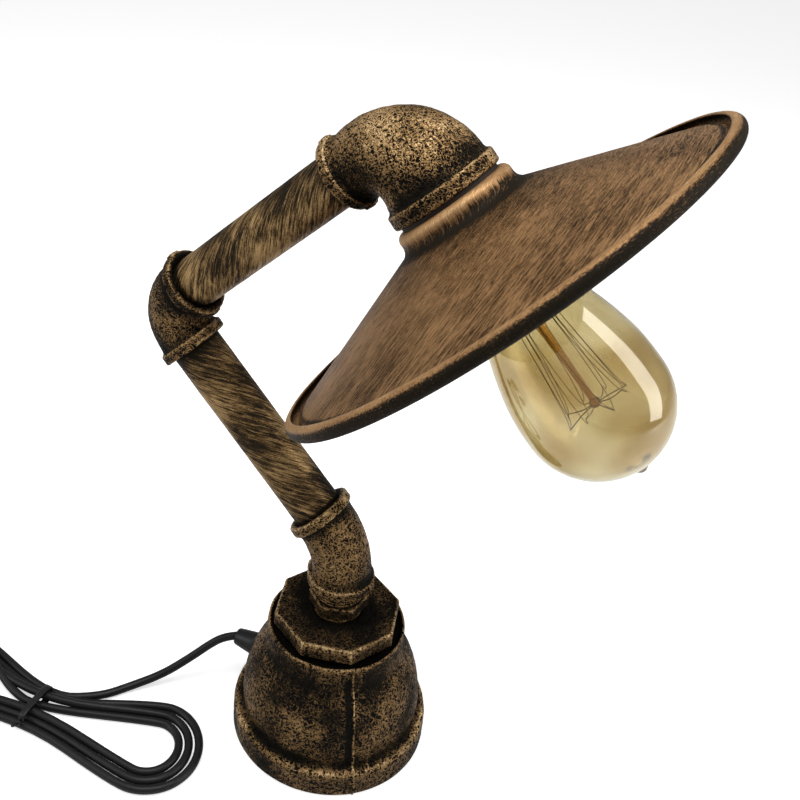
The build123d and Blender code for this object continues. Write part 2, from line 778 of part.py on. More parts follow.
def make_hank():
    """Wound-up cord: two flat lobes pulled in to a waist, with a groove for the tie."""
    plan = hull_of(near_lobe, near_lobe_r, waist, waist_r)
    plan += hull_of(far_lobe, far_lobe_r, waist, waist_r)
    plan -= hull_of(near_hole, near_hole_r, near_hole_end, hole_end_r)
    plan -= hull_of(far_hole, far_hole_r, far_hole_end, hole_end_r)
    bundle = extrude(plan, hank_h)
    bundle = chamfer(bundle.edges().group_by(Axis.Z)[-1], hank_edge)
    groove = Rectangle(8 * waist_r, 8 * hank_h) - tie_section(tie_thick + seat_gap)
    return bundle - tie_at * extrude(groove, tie_wide / 2 + seat_gap, both=True)


def make_tie():
    """Flat tie round the middle of the hank, knotted at its near side."""
    band = extrude(tie_section(0) - tie_section(tie_thick), tie_wide / 2, both=True)
    knot = Pos(-waist_r - tie_over - 0.4 * knot_od, hank_h / 2, 0) * Sphere(knot_od / 2)
    return tie_at * (band + knot)


# ---------------------------------------------------------------- switch on the cord
def switch_blank():
    """Outer form of the closed switch, starting at the cord's entry."""
    plan = Pos(switch_long / 2, 0) * RectangleRounded(switch_long, switch_wide, switch_round)
    body = extrude(plan, switch_h)
    rims = body.edges().group_by(Axis.Z)
    return fillet(rims[-1] + rims[0], switch_edge)


def cross_bar(radius, length):
    """Round bar across the switch, at the rocker's axle."""
    return Pos(switch_long / 2, 0, axle_z) * Rot(90, 0, 0) * Cylinder(radius, length)


def make_switch_lower():
    """Lower half of the switch's housing."""
    return switch_at * (switch_blank() & block(4 * switch_long, 2 * switch_wide, 0, switch_seam_z))


def make_switch_upper():
    """Upper half of the housing, with the rocker's pocket and the holes for its axle."""
    swing = math.hypot(rocker_long / 2, rocker_tips_up) + seat_gap
    body = switch_blank() & block(4 * switch_long, 2 * switch_wide, switch_seam_z, switch_h)
    pocket = block(2 * swing, rocker_wide + 2 * seat_gap, switch_seam_z, switch_h)
    body -= Pos(switch_long / 2, 0, 0) * pocket
    return switch_at * (body - cross_bar(axle_od / 2 + running_gap, rocker_wide + 2 * (axle_stub + seat_gap)))


def make_rocker():
    """Rocker with a shallow V top and its axle, shown with the far end pressed."""
    half = rocker_long / 2
    side = Polyline((-half, -rocker_deep), (half, -rocker_deep), (half, rocker_tips_up),
                    (0, rocker_middle_up), (-half, rocker_tips_up), close=True)
    paddle = extrude(Plane.XZ * make_face(side.edges()), amount=rocker_wide / 2, both=True)
    paddle = Pos(switch_long / 2, 0, axle_z) * Rot(0, rocker_tilt, 0) * paddle
    return switch_at * (paddle + cross_bar(axle_od / 2, rocker_wide + 2 * axle_stub))


# ---------------------------------------------------------------- plug
def make_plug_body():
    """Flat two-pin plug, tapered towards the cord."""
    half = plug_wide / 2
    tail = plug_tail_wide / 2
    plan = Polyline((-tail, 0), (-half, plug_taper), (-half, plug_long), (half, plug_long),
                    (half, plug_taper), (tail, 0), close=True)
    body = extrude(Plane.XZ * make_face(plan.edges()), amount=plug_h / 2, both=True)
    rims = body.edges().group_by(Axis.Y)
    return plug_at * fillet(rims[0] + rims[-1], plug_edge)


def make_plug_pins():
    """Two round pins."""
    pin = disc(pin_od / 2, plug_long, plug_long + pin_long)
    pin = fillet(pin.edges().group_by(Axis.Z)[-1], pin_tip_round)
    pair = [Pos(side * pin_pitch / 2, 0, 0) * pin for side in (-1, 1)]
    return plug_at * Compound(children=pair)


NODES = {
    "foot_socket": make_foot,
    "base_cover": make_cover,
    "felt_pad": make_pad,
    "octagon_bushing": make_bushing,
    "hex_nipple": make_nipple,
    "lower_elbow": make_lower_elbow,
    "lower_pipe": make_lower_pipe,
    "middle_elbow": make_middle_elbow,
    "upper_pipe": make_upper_pipe,
    "head_elbow": make_head_elbow,
    "lampholder": make_holder,
    "screw_shell": make_screw_shell,
    "centre_contact": make_centre_contact,
    "shade_washer": make_washer,
    "shade_ring": make_shade_ring,
    "shade": make_shade,
    "bulb_glass": make_bulb_glass,
    "bulb_cap": make_bulb_cap,
    "cap_insulator": make_cap_insulator,
    "cap_contact": make_cap_contact,
    "bulb_stem": make_stem,
    "bulb_filament": make_filament,
    "filament_hooks": make_hooks,
    "foot_cable": make_foot_cable,
    "lower_cable": make_lower_cable,
    "upper_cable": make_upper_cable,
    "head_cable": make_head_cable,
    "strain_relief": make_relief,
    "relief_nut": make_relief_nut,
    "mains_cord": make_lead,
    "cord_hank": make_hank,
    "cord_tie": make_tie,
    "cord_tail": make_tail,
    "plug_lead": make_plug_lead,
    "switch_lower_shell": make_switch_lower,
    "switch_upper_shell": make_switch_upper,
    "switch_rocker": make_rocker,
    "plug_body": make_plug_body,
    "plug_pins": make_plug_pins,
}

if __name__ == "__main__":
    os.makedirs("parts", exist_ok=True)
    for node, maker in NODES.items():
        export_step(maker(), f"parts/{node}.step")
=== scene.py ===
# %% [markdown]
# # Industrial pipe table lamp
# The lamp is a cast bell foot with an octagon bushing and a hexagon nipple, two threaded pipes joined
# by malleable elbows, and a reducing elbow that carries a spun shade over a pear-shaped filament bulb.
# The solid model gives every place and size. This file dresses it: most pieces that show are worked
# out again as fine surfaces, because a casting's lumps and a rolled rim need more points than a solid's
# facets have. All lengths are written in millimetres and turned into metres when a mesh is made.

# %% Tools and the solid model
import math

import bmesh
import bpy
import numpy as np
from mathutils import Matrix


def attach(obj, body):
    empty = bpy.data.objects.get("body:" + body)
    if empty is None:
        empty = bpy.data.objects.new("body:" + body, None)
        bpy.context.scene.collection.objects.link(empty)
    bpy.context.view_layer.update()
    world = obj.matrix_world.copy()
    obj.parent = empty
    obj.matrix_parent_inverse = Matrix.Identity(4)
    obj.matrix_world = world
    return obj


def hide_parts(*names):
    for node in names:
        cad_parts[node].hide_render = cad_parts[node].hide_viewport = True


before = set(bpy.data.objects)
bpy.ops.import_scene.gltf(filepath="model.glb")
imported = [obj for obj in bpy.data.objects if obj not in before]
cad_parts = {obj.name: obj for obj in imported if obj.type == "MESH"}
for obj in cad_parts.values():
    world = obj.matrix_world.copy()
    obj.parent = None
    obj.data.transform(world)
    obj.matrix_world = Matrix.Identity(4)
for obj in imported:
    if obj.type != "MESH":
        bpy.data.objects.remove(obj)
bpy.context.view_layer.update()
scene = bpy.context.scene
MM = 0.001

# %% [markdown]
# ## Camera
# The lamp is seen from a little above and from its front right. Writing the camera's own three
# directions as the columns of a matrix is exact, where turning it by angles invites mistakes.
# The lens is shifted a little off its middle.

# %% Camera
CAMERA_AT = (175.35, -434.35, 532.16)
right = np.array([0.894, 0.4434, 0.0649])
up = np.array([-0.2586, 0.3921, 0.8828])
right /= np.linalg.norm(right)
up -= up.dot(right) * right
up /= np.linalg.norm(up)
back = np.cross(right, up)
camera = bpy.data.objects.new("camera", bpy.data.cameras.new("camera"))
columns = np.column_stack([right, up, back, np.array(CAMERA_AT) * MM])
camera.matrix_world = Matrix(np.vstack([columns, [0, 0, 0, 1]]).tolist())
camera.data.sensor_width = 36
camera.data.lens = 50.79
camera.data.shift_x = 0.0930
camera.data.shift_y = -0.1489
scene.collection.objects.link(camera)
scene.camera = camera

# %% [markdown]
# ## Lines to carry a profile along
# Nearly every part here is turned or is a bent tube, so one idea makes them all: a middle line with two
# directions across it, and rings of points round that line. For a turned part the line is straight; for
# an elbow it is straight, then an arc, then straight again.

# %% Middle lines
def unit(v):
    """The vector divided by its own length."""
    v = np.asarray(v, float)
    return v / np.linalg.norm(v)


def straight(start, along, side):
    """Middle line start + s * along, with side and along x side across it."""
    start, along, side = np.asarray(start, float), unit(along), unit(side)
    other = np.cross(along, side)

    def line(s):
        s = np.asarray(s, float)[:, None]
        return start + s * along, side + 0 * s, other + 0 * s
    return line


def bent(corner, go_in, go_out, leg_in, leg_out, run):
    """Middle line that comes in along go_in from leg_in before the corner and leaves along go_out.
    The arc touches both legs run from the corner, so its radius is run / tan(turn / 2). Returns the
    line and its length."""
    corner, go_in, go_out = np.asarray(corner, float), unit(go_in), unit(go_out)
    turn = math.acos(go_in.dot(go_out))
    radius = run / math.tan(turn / 2)
    inward = unit(go_out - go_out.dot(go_in) * go_in)
    other = np.cross(go_in, inward)
    first = leg_in - run
    centre = corner - run * go_in + radius * inward

    def line(s):
        s = np.asarray(s, float)
        a = np.clip((s - first) / radius, 0, turn)[:, None]
        along = np.cos(a) * go_in + np.sin(a) * inward
        side = np.cos(a) * inward - np.sin(a) * go_in
        over = np.where(s < first, s - first, np.maximum(s - first - radius * turn, 0))[:, None]
        return centre - radius * side + over * along, side, other + 0 * a
    return line, first + radius * turn + leg_out - run


def wrap(line, s, r, phi):
    """Grid of points: middle line at s, plus r * (cos(phi) * side + sin(phi) * other)."""
    middle, side, other = line(s)
    phi = np.asarray(phi)[None, :, None]
    r = np.broadcast_to(np.asarray(r, float).reshape(len(s), -1), (len(s), phi.shape[1]))[:, :, None]
    return middle[:, None] + r * (np.cos(phi) * side[:, None] + np.sin(phi) * other[:, None])


print("middle lines ready")

# %% [markdown]
# ## Profiles
# A profile is a list of rows. The pieces turned about the foot's axis write radius, height and wear, and
# the bushing and the nipple also how far the polygon shapes the row. Elbows and pipes write the place
# along their line first, then radius and wear. Wear runs from 0 or less, a recess that stays black, to 1
# or a little more, an edge that the dry brush turned to bright copper. The same numbers also carry painted
# light: the elbows' upward faces are raised as a painted top highlight, and a band beside each foot seam
# is lowered as painted shade.

# %% Profile helpers
def through(points, steps):
    """Smooth line through points: on each span the cubic whose slopes are half the neighbours' difference."""
    p = np.asarray(points, float)
    p = np.vstack([2 * p[0] - p[1], p, 2 * p[-1] - p[-2]])
    t = np.linspace(0, 1, steps, endpoint=False)[:, None]
    spans = [0.5 * (2 * b + (c - a) * t + (2 * a - 5 * b + 4 * c - d) * t ** 2
                    + (3 * b - a - 3 * c + d) * t ** 3)
             for a, b, c, d in zip(p, p[1:], p[2:], p[3:])]
    return np.vstack(spans + [p[-2:-1]])


def finer(rows, gap):
    """The same polyline with no step longer than gap; every column is shared out evenly along a step."""
    rows = np.asarray(rows, float)
    steps = np.maximum(1, np.ceil(np.linalg.norm(np.diff(rows[:, :2], axis=0), axis=1) / gap)).astype(int)
    t = np.concatenate([[0]] + [k + np.arange(1, n + 1) / n for k, n in enumerate(steps)])
    return np.column_stack([np.interp(t, np.arange(len(rows)), column) for column in rows.T])


print("profile helpers ready")

# %% [markdown]
# ## Meshes from grids
# A grid of points becomes quads in one call. The same function stores the wear of each point, with any
# painted light added to it, which the finishes read, and a UV map whose two numbers are the distance round
# the piece and the distance along it, both in metres. Brushed pieces also store each point's place in the
# brush's own pattern.

# %% Mesh helpers
table = np.random.default_rng(11).random((24, 24, 24))


def lumps(points, size, octaves=2):
    """Smooth noise from -1 to 1: random numbers on a lattice of the given size, blended by 3t^2 - 2t^3
    between its nodes; each further octave has half the size and half the height."""
    total, weight = 0, 0
    for k in range(octaves):
        p = np.asarray(points) / (size / 2 ** k) + 37.3 * k
        cell = np.floor(p).astype(int)
        t = p - cell
        t = t * t * (3 - 2 * t)
        value = 0
        for corner in np.ndindex(2, 2, 2):
            share = np.prod([t[..., a] if corner[a] else 1 - t[..., a] for a in range(3)], axis=0)
            i, j, m = [(cell[..., a] + corner[a]) % 24 for a in range(3)]
            value = value + share * table[i, j, m]
        total, weight = total + value / 2 ** k, weight + 1 / 2 ** k
    return 2 * total / weight - 1


def normals(grid, closed):
    """Unit cross product of the grid's two differences, the columns taken round in a ring."""
    rows = np.roll(grid, -1, 0) - np.roll(grid, 1, 0) if closed else np.gradient(grid, axis=0)
    columns = np.roll(grid, -1, 1) - np.roll(grid, 1, 1)
    n = np.cross(columns, rows)
    return n / np.maximum(np.linalg.norm(n, axis=2, keepdims=True), 1e-9)


def surface(name, grid, closed=True, wear_and_painted_light=None, stroke=None, material=None, body="root",
            replaces=(), around=None):
    """Quads over the grid: (i, j), (i, j+1), (i+1, j+1), (i+1, j). Columns always close; rows close too
    where closed is true, and otherwise end in a pole or an open edge. stroke is a place in the brush's own
    pattern for each point, in millimetres like the grid. around is the UV map's width where it isn't the
    widest ring's."""
    rows, columns = grid.shape[:2]
    i, j = np.meshgrid(np.arange(rows if closed else rows - 1), np.arange(columns), indexing="ij")
    i, j = i.ravel(), j.ravel()
    i2, j2 = (i + 1) % rows, (j + 1) % columns
    faces = np.column_stack([i * columns + j, i * columns + j2, i2 * columns + j2, i2 * columns + j])
    mesh = bpy.data.meshes.new(name)
    mesh.from_pydata((grid.reshape(-1, 3) * MM).tolist(), [], faces.tolist())
    along = np.concatenate([[0], np.cumsum(np.linalg.norm(np.diff(grid[:, 0], axis=0), axis=1))])
    last = along[-1] + np.linalg.norm(grid[0, 0] - grid[-1, 0])
    rings = np.diff(np.concatenate([grid, grid[:, :1]], 1), axis=1)
    girth = around or np.linalg.norm(rings, axis=2).sum(1).max()
    v, v2 = along[i], np.where(i2 == 0, last, along[i2])
    u, u2 = j / columns * girth, (j + 1) / columns * girth
    corners = np.stack([np.column_stack(pair) for pair in ((u, v), (u2, v), (u2, v2), (u, v2))], axis=1)
    mesh.uv_layers.new(name="UVMap").data.foreach_set("uv", (corners * MM).astype(np.float32).ravel())
    if wear_and_painted_light is not None:
        worn = np.broadcast_to(np.asarray(wear_and_painted_light, float).reshape(rows, -1), (rows, columns))
        mesh.attributes.new("wear_and_painted_light", "FLOAT", "POINT").data.foreach_set(
            "value", worn.astype(np.float32).ravel())
    if stroke is not None:
        mesh.attributes.new("stroke", "FLOAT_VECTOR", "POINT").data.foreach_set(
            "vector", (stroke * MM).astype(np.float32).ravel())
    shell = bmesh.new()
    shell.from_mesh(mesh)
    bmesh.ops.remove_doubles(shell, verts=shell.verts, dist=2e-6)
    bmesh.ops.recalc_face_normals(shell, faces=shell.faces)
    shell.to_mesh(mesh)
    shell.free()
    mesh.shade_smooth()
    return placed(name, mesh, material, body, replaces)


def placed(name, mesh, material, body, replaces=()):
    """Object from a mesh, with its finish, riding on its body and standing for its solids."""
    piece = bpy.data.objects.new(name, mesh)
    scene.collection.objects.link(piece)
    if material:
        mesh.materials.append(material)
    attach(piece, body)
    if replaces:
        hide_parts(*replaces)
    print(name, len(mesh.polygons), "faces")
    return piece


def ring_angles(count, extra=()):
    """Even angles round a ring, with close ones added about some places: (middle, half width, count)."""
    parts = [np.linspace(0, 2 * math.pi, count, endpoint=False)]
    parts += [np.radians(middle + np.linspace(-half, half, n)) % (2 * math.pi) for middle, half, n in extra]
    merged = np.unique(np.round(np.concatenate(parts), 5))
    return merged[np.concatenate([[True], np.diff(merged) > 2e-4])]


def tube(name, points, thick, material, body, sides=8, replaces=()):
    """Round wire along points: rings across the line's own direction, closed by a pole at each end."""
    p = np.asarray(points, float)
    along = np.gradient(p, axis=0)
    along /= np.linalg.norm(along, axis=1, keepdims=True)
    lead = np.cross(along[0], (0.3, 0.9, 0.1))
    sides_of = []
    for t in along:
        lead = unit(lead - lead.dot(t) * t)
        sides_of.append(lead)
    side = np.array(sides_of)
    other = np.cross(along, side)
    r = np.concatenate([[0], np.full(len(p), thick / 2), [0]])[:, None, None]
    middle, side, other = [np.vstack([v[:1], v, v[-1:]])[:, None] for v in (p, side, other)]
    phi = np.linspace(0, 2 * math.pi, sides, endpoint=False)[None, :, None]
    grid = middle + r * (np.cos(phi) * side + np.sin(phi) * other)
    return surface(name, grid, closed=False, material=material, body=body, replaces=replaces)


print("mesh helpers ready")

# %% [markdown]
# ## Finishes
# The real finish is a black base coat that was dry-brushed with antique copper, so copper sits on the
# high spots and black stays in every pit and recess. Noise and the stored wear together give a mask;
# the mask drives colour and gloss, and the noise alone drives the bump.

# %% Node helpers
def finish(name):
    """New node finish; returns it, its nodes, a joining function and its shader."""
    material = bpy.data.materials.new(name)
    material.use_nodes = True
    tree = material.node_tree
    shader = tree.nodes["Principled BSDF"]

    def node(kind, inputs=(), **settings):
        made = tree.nodes.new(kind)
        for key, value in settings.items():
            setattr(made, key, value)
        for key, value in dict(inputs).items():
            if isinstance(value, bpy.types.NodeSocket):
                tree.links.new(value, made.inputs[key])
            else:
                made.inputs[key].default_value = value
        return made
    return material, node, tree.links.new, shader


def arithmetic(node, operation, a, b=0.0, c=0.0):
    """One Math node; a, b and c are sockets or numbers."""
    return node("ShaderNodeMath", {0: a, 1: b, 2: c}, operation=operation).outputs[0]


def noise(node, place, scale, detail, **more):
    """Height of a noise texture read at a place."""
    inputs = {"Vector": place, "Scale": scale, "Detail": detail, **more}
    return node("ShaderNodeTexNoise", inputs).outputs["Fac"]


def span(node, value, low, high, to_low=0.0, to_high=1.0):
    """Smooth step of value between low and high, mapped to to_low ... to_high."""
    return node("ShaderNodeMapRange", {"Value": value, "From Min": low, "From Max": high,
                                       "To Min": to_low, "To Max": to_high},
                interpolation_type="SMOOTHSTEP").outputs["Result"]


def blend_of(node, share, a, b):
    """Colour a where share is 0 and b where it is 1."""
    return node("ShaderNodeMix", {"Factor": share, "A": a, "B": b}, data_type="RGBA").outputs["Result"]


BLACK = (0.0050, 0.0047, 0.0038, 1)
SOOT = (0.014, 0.011, 0.007, 1)
COPPER_DARK = (0.110, 0.064, 0.026, 1)
COPPER = (0.340, 0.205, 0.086, 1)
COPPER_BRIGHT = (0.700, 0.490, 0.250, 1)
print("node helpers ready")

# %% [markdown]
# ## Cast finish
# A sand casting is covered in short worm-like ridges about a millimetre wide, and the copper caught on
# them. The places where smooth noise passes its middle value form just such worms. A second, much larger
# noise makes whole patches darker or more coppery.

# %% Cast finish
def cast_finish(name, worm, bias=0.0, warmth=1.0):
    """Copper worms over black. ridge = 1.25 - 4.2 * |2 noise - 1|, which peaks along the worms; the mask is a
    step of ridge + fine noise + patches + wear, where the stored wear also carries painted light."""
    material, node, join, shader = finish(name)
    place = node("ShaderNodeTexCoord").outputs["Object"]
    wear_and_painted_light = node("ShaderNodeAttribute", attribute_name="wear_and_painted_light").outputs["Fac"]
    smooth = noise(node, place, worm, 1.0, Roughness=0.5, Distortion=0.5)
    off = arithmetic(node, "ABSOLUTE", arithmetic(node, "MULTIPLY_ADD", smooth, 2.0, -1.0))
    ridge = arithmetic(node, "MULTIPLY_ADD", off, -4.2, 1.25)
    patch = noise(node, place, 42.0, 3.0)
    fine = noise(node, place, 1900.0, 2.0)
    height = arithmetic(node, "MULTIPLY_ADD", fine, 0.6, ridge)
    lift = arithmetic(node, "MULTIPLY_ADD", patch, 2.5,
                      arithmetic(node, "MULTIPLY_ADD", wear_and_painted_light, 1.15, -2.35 + bias))
    level = arithmetic(node, "ADD", height, lift)
    mask = span(node, level, 0.40, 0.58)
    warm = tuple(c * warmth for c in COPPER[:3]) + (1,)
    copper = blend_of(node, span(node, level, 0.45, 1.15), COPPER_DARK, warm)
    copper = blend_of(node, span(node, level, 1.15, 1.75), copper, COPPER_BRIGHT)
    ground = blend_of(node, span(node, level, -0.6, 0.40), BLACK, SOOT)
    join(blend_of(node, mask, ground, copper), shader.inputs["Base Color"])
    join(span(node, mask, 0, 1, 0.50, 0.36), shader.inputs["Roughness"])
    join(span(node, mask, 0, 1, 0.0, 0.62), shader.inputs["Metallic"])
    shader.inputs["Specular IOR Level"].default_value = 0.03
    bump = node("ShaderNodeBump", {"Height": height, "Strength": 0.60, "Distance": 0.0005})
    join(bump.outputs["Normal"], shader.inputs["Normal"])
    return material


casting = cast_finish("cast_finish", worm=680.0)
casting_dark = cast_finish("foot_finish", worm=540.0, bias=-0.05, warmth=0.80)
print("cast finishes ready")

# %% [markdown]
# ## Brushed finishes
# On the pipes and the shade the copper was wiped on with a dry brush, so it lies in strokes. Each piece
# stores for every point its place in the brush's own pattern: across the stroke at full scale, along it
# much reduced. Ordinary noise read at that place comes out as long hairs, with no seam anywhere.

# %% Brushed finishes
def brushed_finish(name, hair, bias, copper_low, copper_high, patchy=0.3, metal=0.55):
    """Copper hairs over black: two noises at the stored stroke place, patches and wear, then a step."""
    material, node, join, shader = finish(name)
    place = node("ShaderNodeTexCoord").outputs["Object"]
    wear_and_painted_light = node("ShaderNodeAttribute", attribute_name="wear_and_painted_light").outputs["Fac"]
    stroke = node("ShaderNodeAttribute", attribute_name="stroke").outputs["Vector"]
    wide = noise(node, stroke, hair, 3.0, Roughness=0.62)
    thin = noise(node, stroke, hair * 3.3, 2.0, Roughness=0.6)
    patch = noise(node, place, 26.0, 4.0)
    speck = noise(node, place, 1500.0, 2.0)
    height = arithmetic(node, "MULTIPLY_ADD", thin, 0.9, wide)
    height = arithmetic(node, "MULTIPLY_ADD", speck, 0.35, height)
    lift = arithmetic(node, "MULTIPLY_ADD", patch, patchy,
                      arithmetic(node, "MULTIPLY_ADD", wear_and_painted_light, 0.62, bias - 0.93 - patchy / 2))
    level = arithmetic(node, "ADD", height, lift)
    mask = span(node, level, 0.30, 0.52)
    copper = blend_of(node, span(node, level, 0.42, 0.80), copper_low, copper_high)
    copper = blend_of(node, span(node, level, 0.84, 1.20), copper, COPPER_BRIGHT)
    join(blend_of(node, mask, SOOT, copper), shader.inputs["Base Color"])
    join(span(node, mask, 0, 1, 0.50, 0.42), shader.inputs["Roughness"])
    join(span(node, mask, 0, 1, 0.0, metal), shader.inputs["Metallic"])
    shader.inputs["Specular IOR Level"].default_value = 0.04
    bump = node("ShaderNodeBump", {"Height": height, "Strength": 0.30, "Distance": 0.0003})
    join(bump.outputs["Normal"], shader.inputs["Normal"])
    return material


pipe_swirl = brushed_finish("pipe_finish", 760, -0.03, COPPER_DARK, (0.500, 0.325, 0.145, 1), patchy=1.25)
shade_brush = brushed_finish("shade_finish", 2100, 0.02, (0.100, 0.052, 0.022, 1),
                             (0.400, 0.225, 0.100, 1), patchy=0.45, metal=0.35)
print("brushed finishes ready")

# %% [markdown]
# ## Plain finishes
# Rubber, moulded plastic, brass, felt and wire are small or mostly hidden. Each still gets a fine
# grain in colour and bump, because a single flat colour looks like a toy at any distance.

# %% Plain finishes
def grained_finish(name, low, high, rough, metal=0.0, scale=900.0, depth=0.0001, strength=0.3, gloss=0.3):
    """Two close colours mixed by noise, with the same noise as a shallow bump."""
    material, node, join, shader = finish(name)
    place = node("ShaderNodeTexCoord").outputs["Object"]
    grain = noise(node, place, scale, 4.0)
    join(blend_of(node, span(node, grain, 0.3, 0.7), low + (1,), high + (1,)), shader.inputs["Base Color"])
    join(span(node, grain, 0.2, 0.8, rough - 0.06, rough + 0.06), shader.inputs["Roughness"])
    shader.inputs["Metallic"].default_value = metal
    shader.inputs["Specular IOR Level"].default_value = gloss
    bump = node("ShaderNodeBump", {"Height": grain, "Strength": strength, "Distance": depth})
    join(bump.outputs["Normal"], shader.inputs["Normal"])
    return material


rubber = grained_finish("cord_jacket", (0.006, 0.006, 0.007), (0.014, 0.014, 0.015), 0.44,
                        scale=2200, depth=0.00006)
moulded = grained_finish("moulded_black", (0.010, 0.010, 0.010), (0.020, 0.020, 0.021), 0.38, scale=1600)
phenolic = grained_finish("holder_plastic", (0.012, 0.011, 0.010), (0.024, 0.021, 0.019), 0.34, scale=700)
brass = grained_finish("brass_shell", (0.62, 0.44, 0.18), (0.78, 0.58, 0.28), 0.30, 1.0, 400, 0.00004)
felt = grained_finish("felt", (0.010, 0.010, 0.010), (0.040, 0.040, 0.040), 0.95,
                      scale=3200, depth=0.0004, strength=0.8)
sheet_black = grained_finish("cover_steel", (0.020, 0.020, 0.020), (0.034, 0.033, 0.032), 0.45, 0.2, 500)
fibre = grained_finish("fibre", (0.020, 0.014, 0.010), (0.045, 0.032, 0.024), 0.7, scale=1800)
vitrite = grained_finish("cap_glass", (0.006, 0.006, 0.006), (0.012, 0.011, 0.011), 0.12,
                         scale=300, depth=0.00003, gloss=0.5)
hook_dark = grained_finish("hook_wire", (0.030, 0.018, 0.010), (0.070, 0.044, 0.026), 0.35,
                           0.8, 900, 0.00003)
carbon = grained_finish("filament_wire", (0.120, 0.062, 0.018), (0.240, 0.130, 0.045), 0.45,
                        0.5, 2000, 0.00003)
pin_metal = grained_finish("pin_metal", (0.66, 0.58, 0.40), (0.78, 0.72, 0.55), 0.24, 1.0, 500, 0.00003)


def tinted_glass(name, pale, deep, rough=0.0, ior=1.7):
    """Clear tinted glass whose tint drifts between pale and deep in broad patches, which are painted
    reflections.
    """
    material, node, join, shader = finish(name)
    place = node("ShaderNodeTexCoord").outputs["Object"]
    # Broad patches of deeper and paler tint: painted reflections of dark and pale surroundings.
    painted_reflection = noise(node, place, 30.0, 1.0)
    join(blend_of(node, span(node, painted_reflection, 0.38, 0.62), deep + (1,), pale + (1,)), shader.inputs["Base Color"])
    shader.inputs["Roughness"].default_value = rough
    shader.inputs["IOR"].default_value = ior
    shader.inputs["Transmission Weight"].default_value = 1.0
    return material


amber = tinted_glass("amber_glass", (0.68, 0.62, 0.43), (0.50, 0.40, 0.205))
stem_clear = tinted_glass("stem_glass", (0.62, 0.36, 0.10), (0.50, 0.25, 0.05), rough=0.04)
print("plain finishes ready")

# %% [markdown]
# ## The cord
# The cord leaves the foot through its relief, falls to the table in one curve and is wound three times
# round a flat hank, which a tie pulls in at its waist. It goes on to an in-line switch and a plug.
# A real cord keeps its length, so it is one spline with the solid model's route points as control
# points and about eighteen more for each turn of the hank; the spline rounds them by itself.

# %% Cord routes
CORD = 4.8
lead_route = [(-62.5, 0, 31), (-68.8, -2.4, 29.2), (-75.4, -6.8, 24.8), (-84.3, -15.4, 16.4),
              (-96.3, -27.5, 7.0), (-110.0, -41.5, 2.7), (-121.0, -56.7, 2.6)]
tail_route = [(-241.6, -93.2, 2.6), (-242.4, -102.5, 3.6), (-242.0, -111.5, 6.4), (-241.6, -120.0, 9.0)]
plug_route = [(-241.6, -178.0, 9.0), (-241.4, -190.8, 5.8), (-234.9, -203.6, 3.2), (-221.6, -211.6, 2.6),
              (-206.2, -211.8, 2.7), (-192.6, -204.2, 3.2), (-185.9, -191.2, 4.6), (-185.6, -178.0, 7.0)]
near_lobe, far_lobe, waist = np.array([-77.0, -71.6]), np.array([-214.6, -82.0]), np.array([-147.5, -81.3])


def lobe(centre, radius, middle, half, height):
    """Points every 30 degrees round an arc, with the polygon a little outside the wanted radius,
    since the spline runs inside its corners: (0.75 + 0.25 cos step) times as far out."""
    a = np.radians(middle + np.linspace(-half, half, 8))
    reach = radius / (0.75 + 0.25 * math.cos(a[1] - a[0]))
    reach = np.broadcast_to(reach, len(a)) * (1 + 0.012 * np.sin(3.1 * a + radius))
    return np.column_stack([centre[0] + reach * np.cos(a), centre[1] + reach * np.sin(a),
                            np.full(len(a), height)])


turns = [  # near and far radius, then the place across the waist and the height there, north and south
    (28.4, 27.3, (9.6, 2.6), (-9.6, 2.6)),
    (22.6, 21.8, (4.8, 2.6), (-4.8, 2.6)),
    (16.9, 16.5, (2.4, 6.9), (-2.4, 6.9)),
]
hank_route = []
for near_r, far_r, (north, north_z), (south, south_z) in turns:
    hank_route.append([(waist[0] + 1.5, waist[1] + north, north_z)])
    hank_route.append(lobe(far_lobe, far_r, 180, 102, 2.5))
    hank_route.append([(waist[0] - 1.5, waist[1] + south, south_z)])
    hank_route.append(lobe(near_lobe, near_r, 7.5, 102, 2.5))
over = np.array([(-147.5, -81.2, 2.6), (-168, -78.5, 3.4), (-186, -70.5, 6.8), (-203, -61.5, 7.6),
                 (-217, -56.0, 7.4), (-231.5, -58.5, 6.8), (-241.5, -68.0, 4.4), (-243.2, -81.0, 2.8)])
cord_route = np.vstack([lead_route] + hank_route + [over, tail_route])
print("cord route", len(cord_route), "points")

# %% Cord pieces
def flexible(name, route, thick, material, replaces):
    """Round tube along one quadratic NURBS spline that has the route as its control points. The spline
    is read back as a line of points in metres; returns the piece, that line and its length."""
    curve = bpy.data.curves.new(name, "CURVE")
    curve.dimensions = "3D"
    spline = curve.splines.new("NURBS")
    spline.points.add(len(route) - 1)
    spline.points.foreach_set("co", np.column_stack([np.asarray(route) * MM, np.ones(len(route))]).ravel())
    spline.order_u = 3
    spline.use_endpoint_u = True
    curve.resolution_u = 6
    guide = bpy.data.objects.new(name + "_guide", curve)
    line = np.array([v.co for v in bpy.data.meshes.new_from_object(guide).vertices])
    bpy.data.objects.remove(guide, do_unlink=True)
    piece = tube(name, line / MM, thick, material, "root", 14, replaces)
    return piece, line, float(np.linalg.norm(np.diff(line, axis=0), axis=1).sum())


flex, flex_line, flex_length = flexible("mains_flex", cord_route, CORD, rubber,
                                        ["mains_cord", "cord_hank", "cord_tail"])
plug_flex, plug_line, plug_length = flexible("plug_flex", plug_route, CORD, rubber,
                                             ["plug_lead"])
print("cord length", round(flex_length + plug_length, 3), "m")

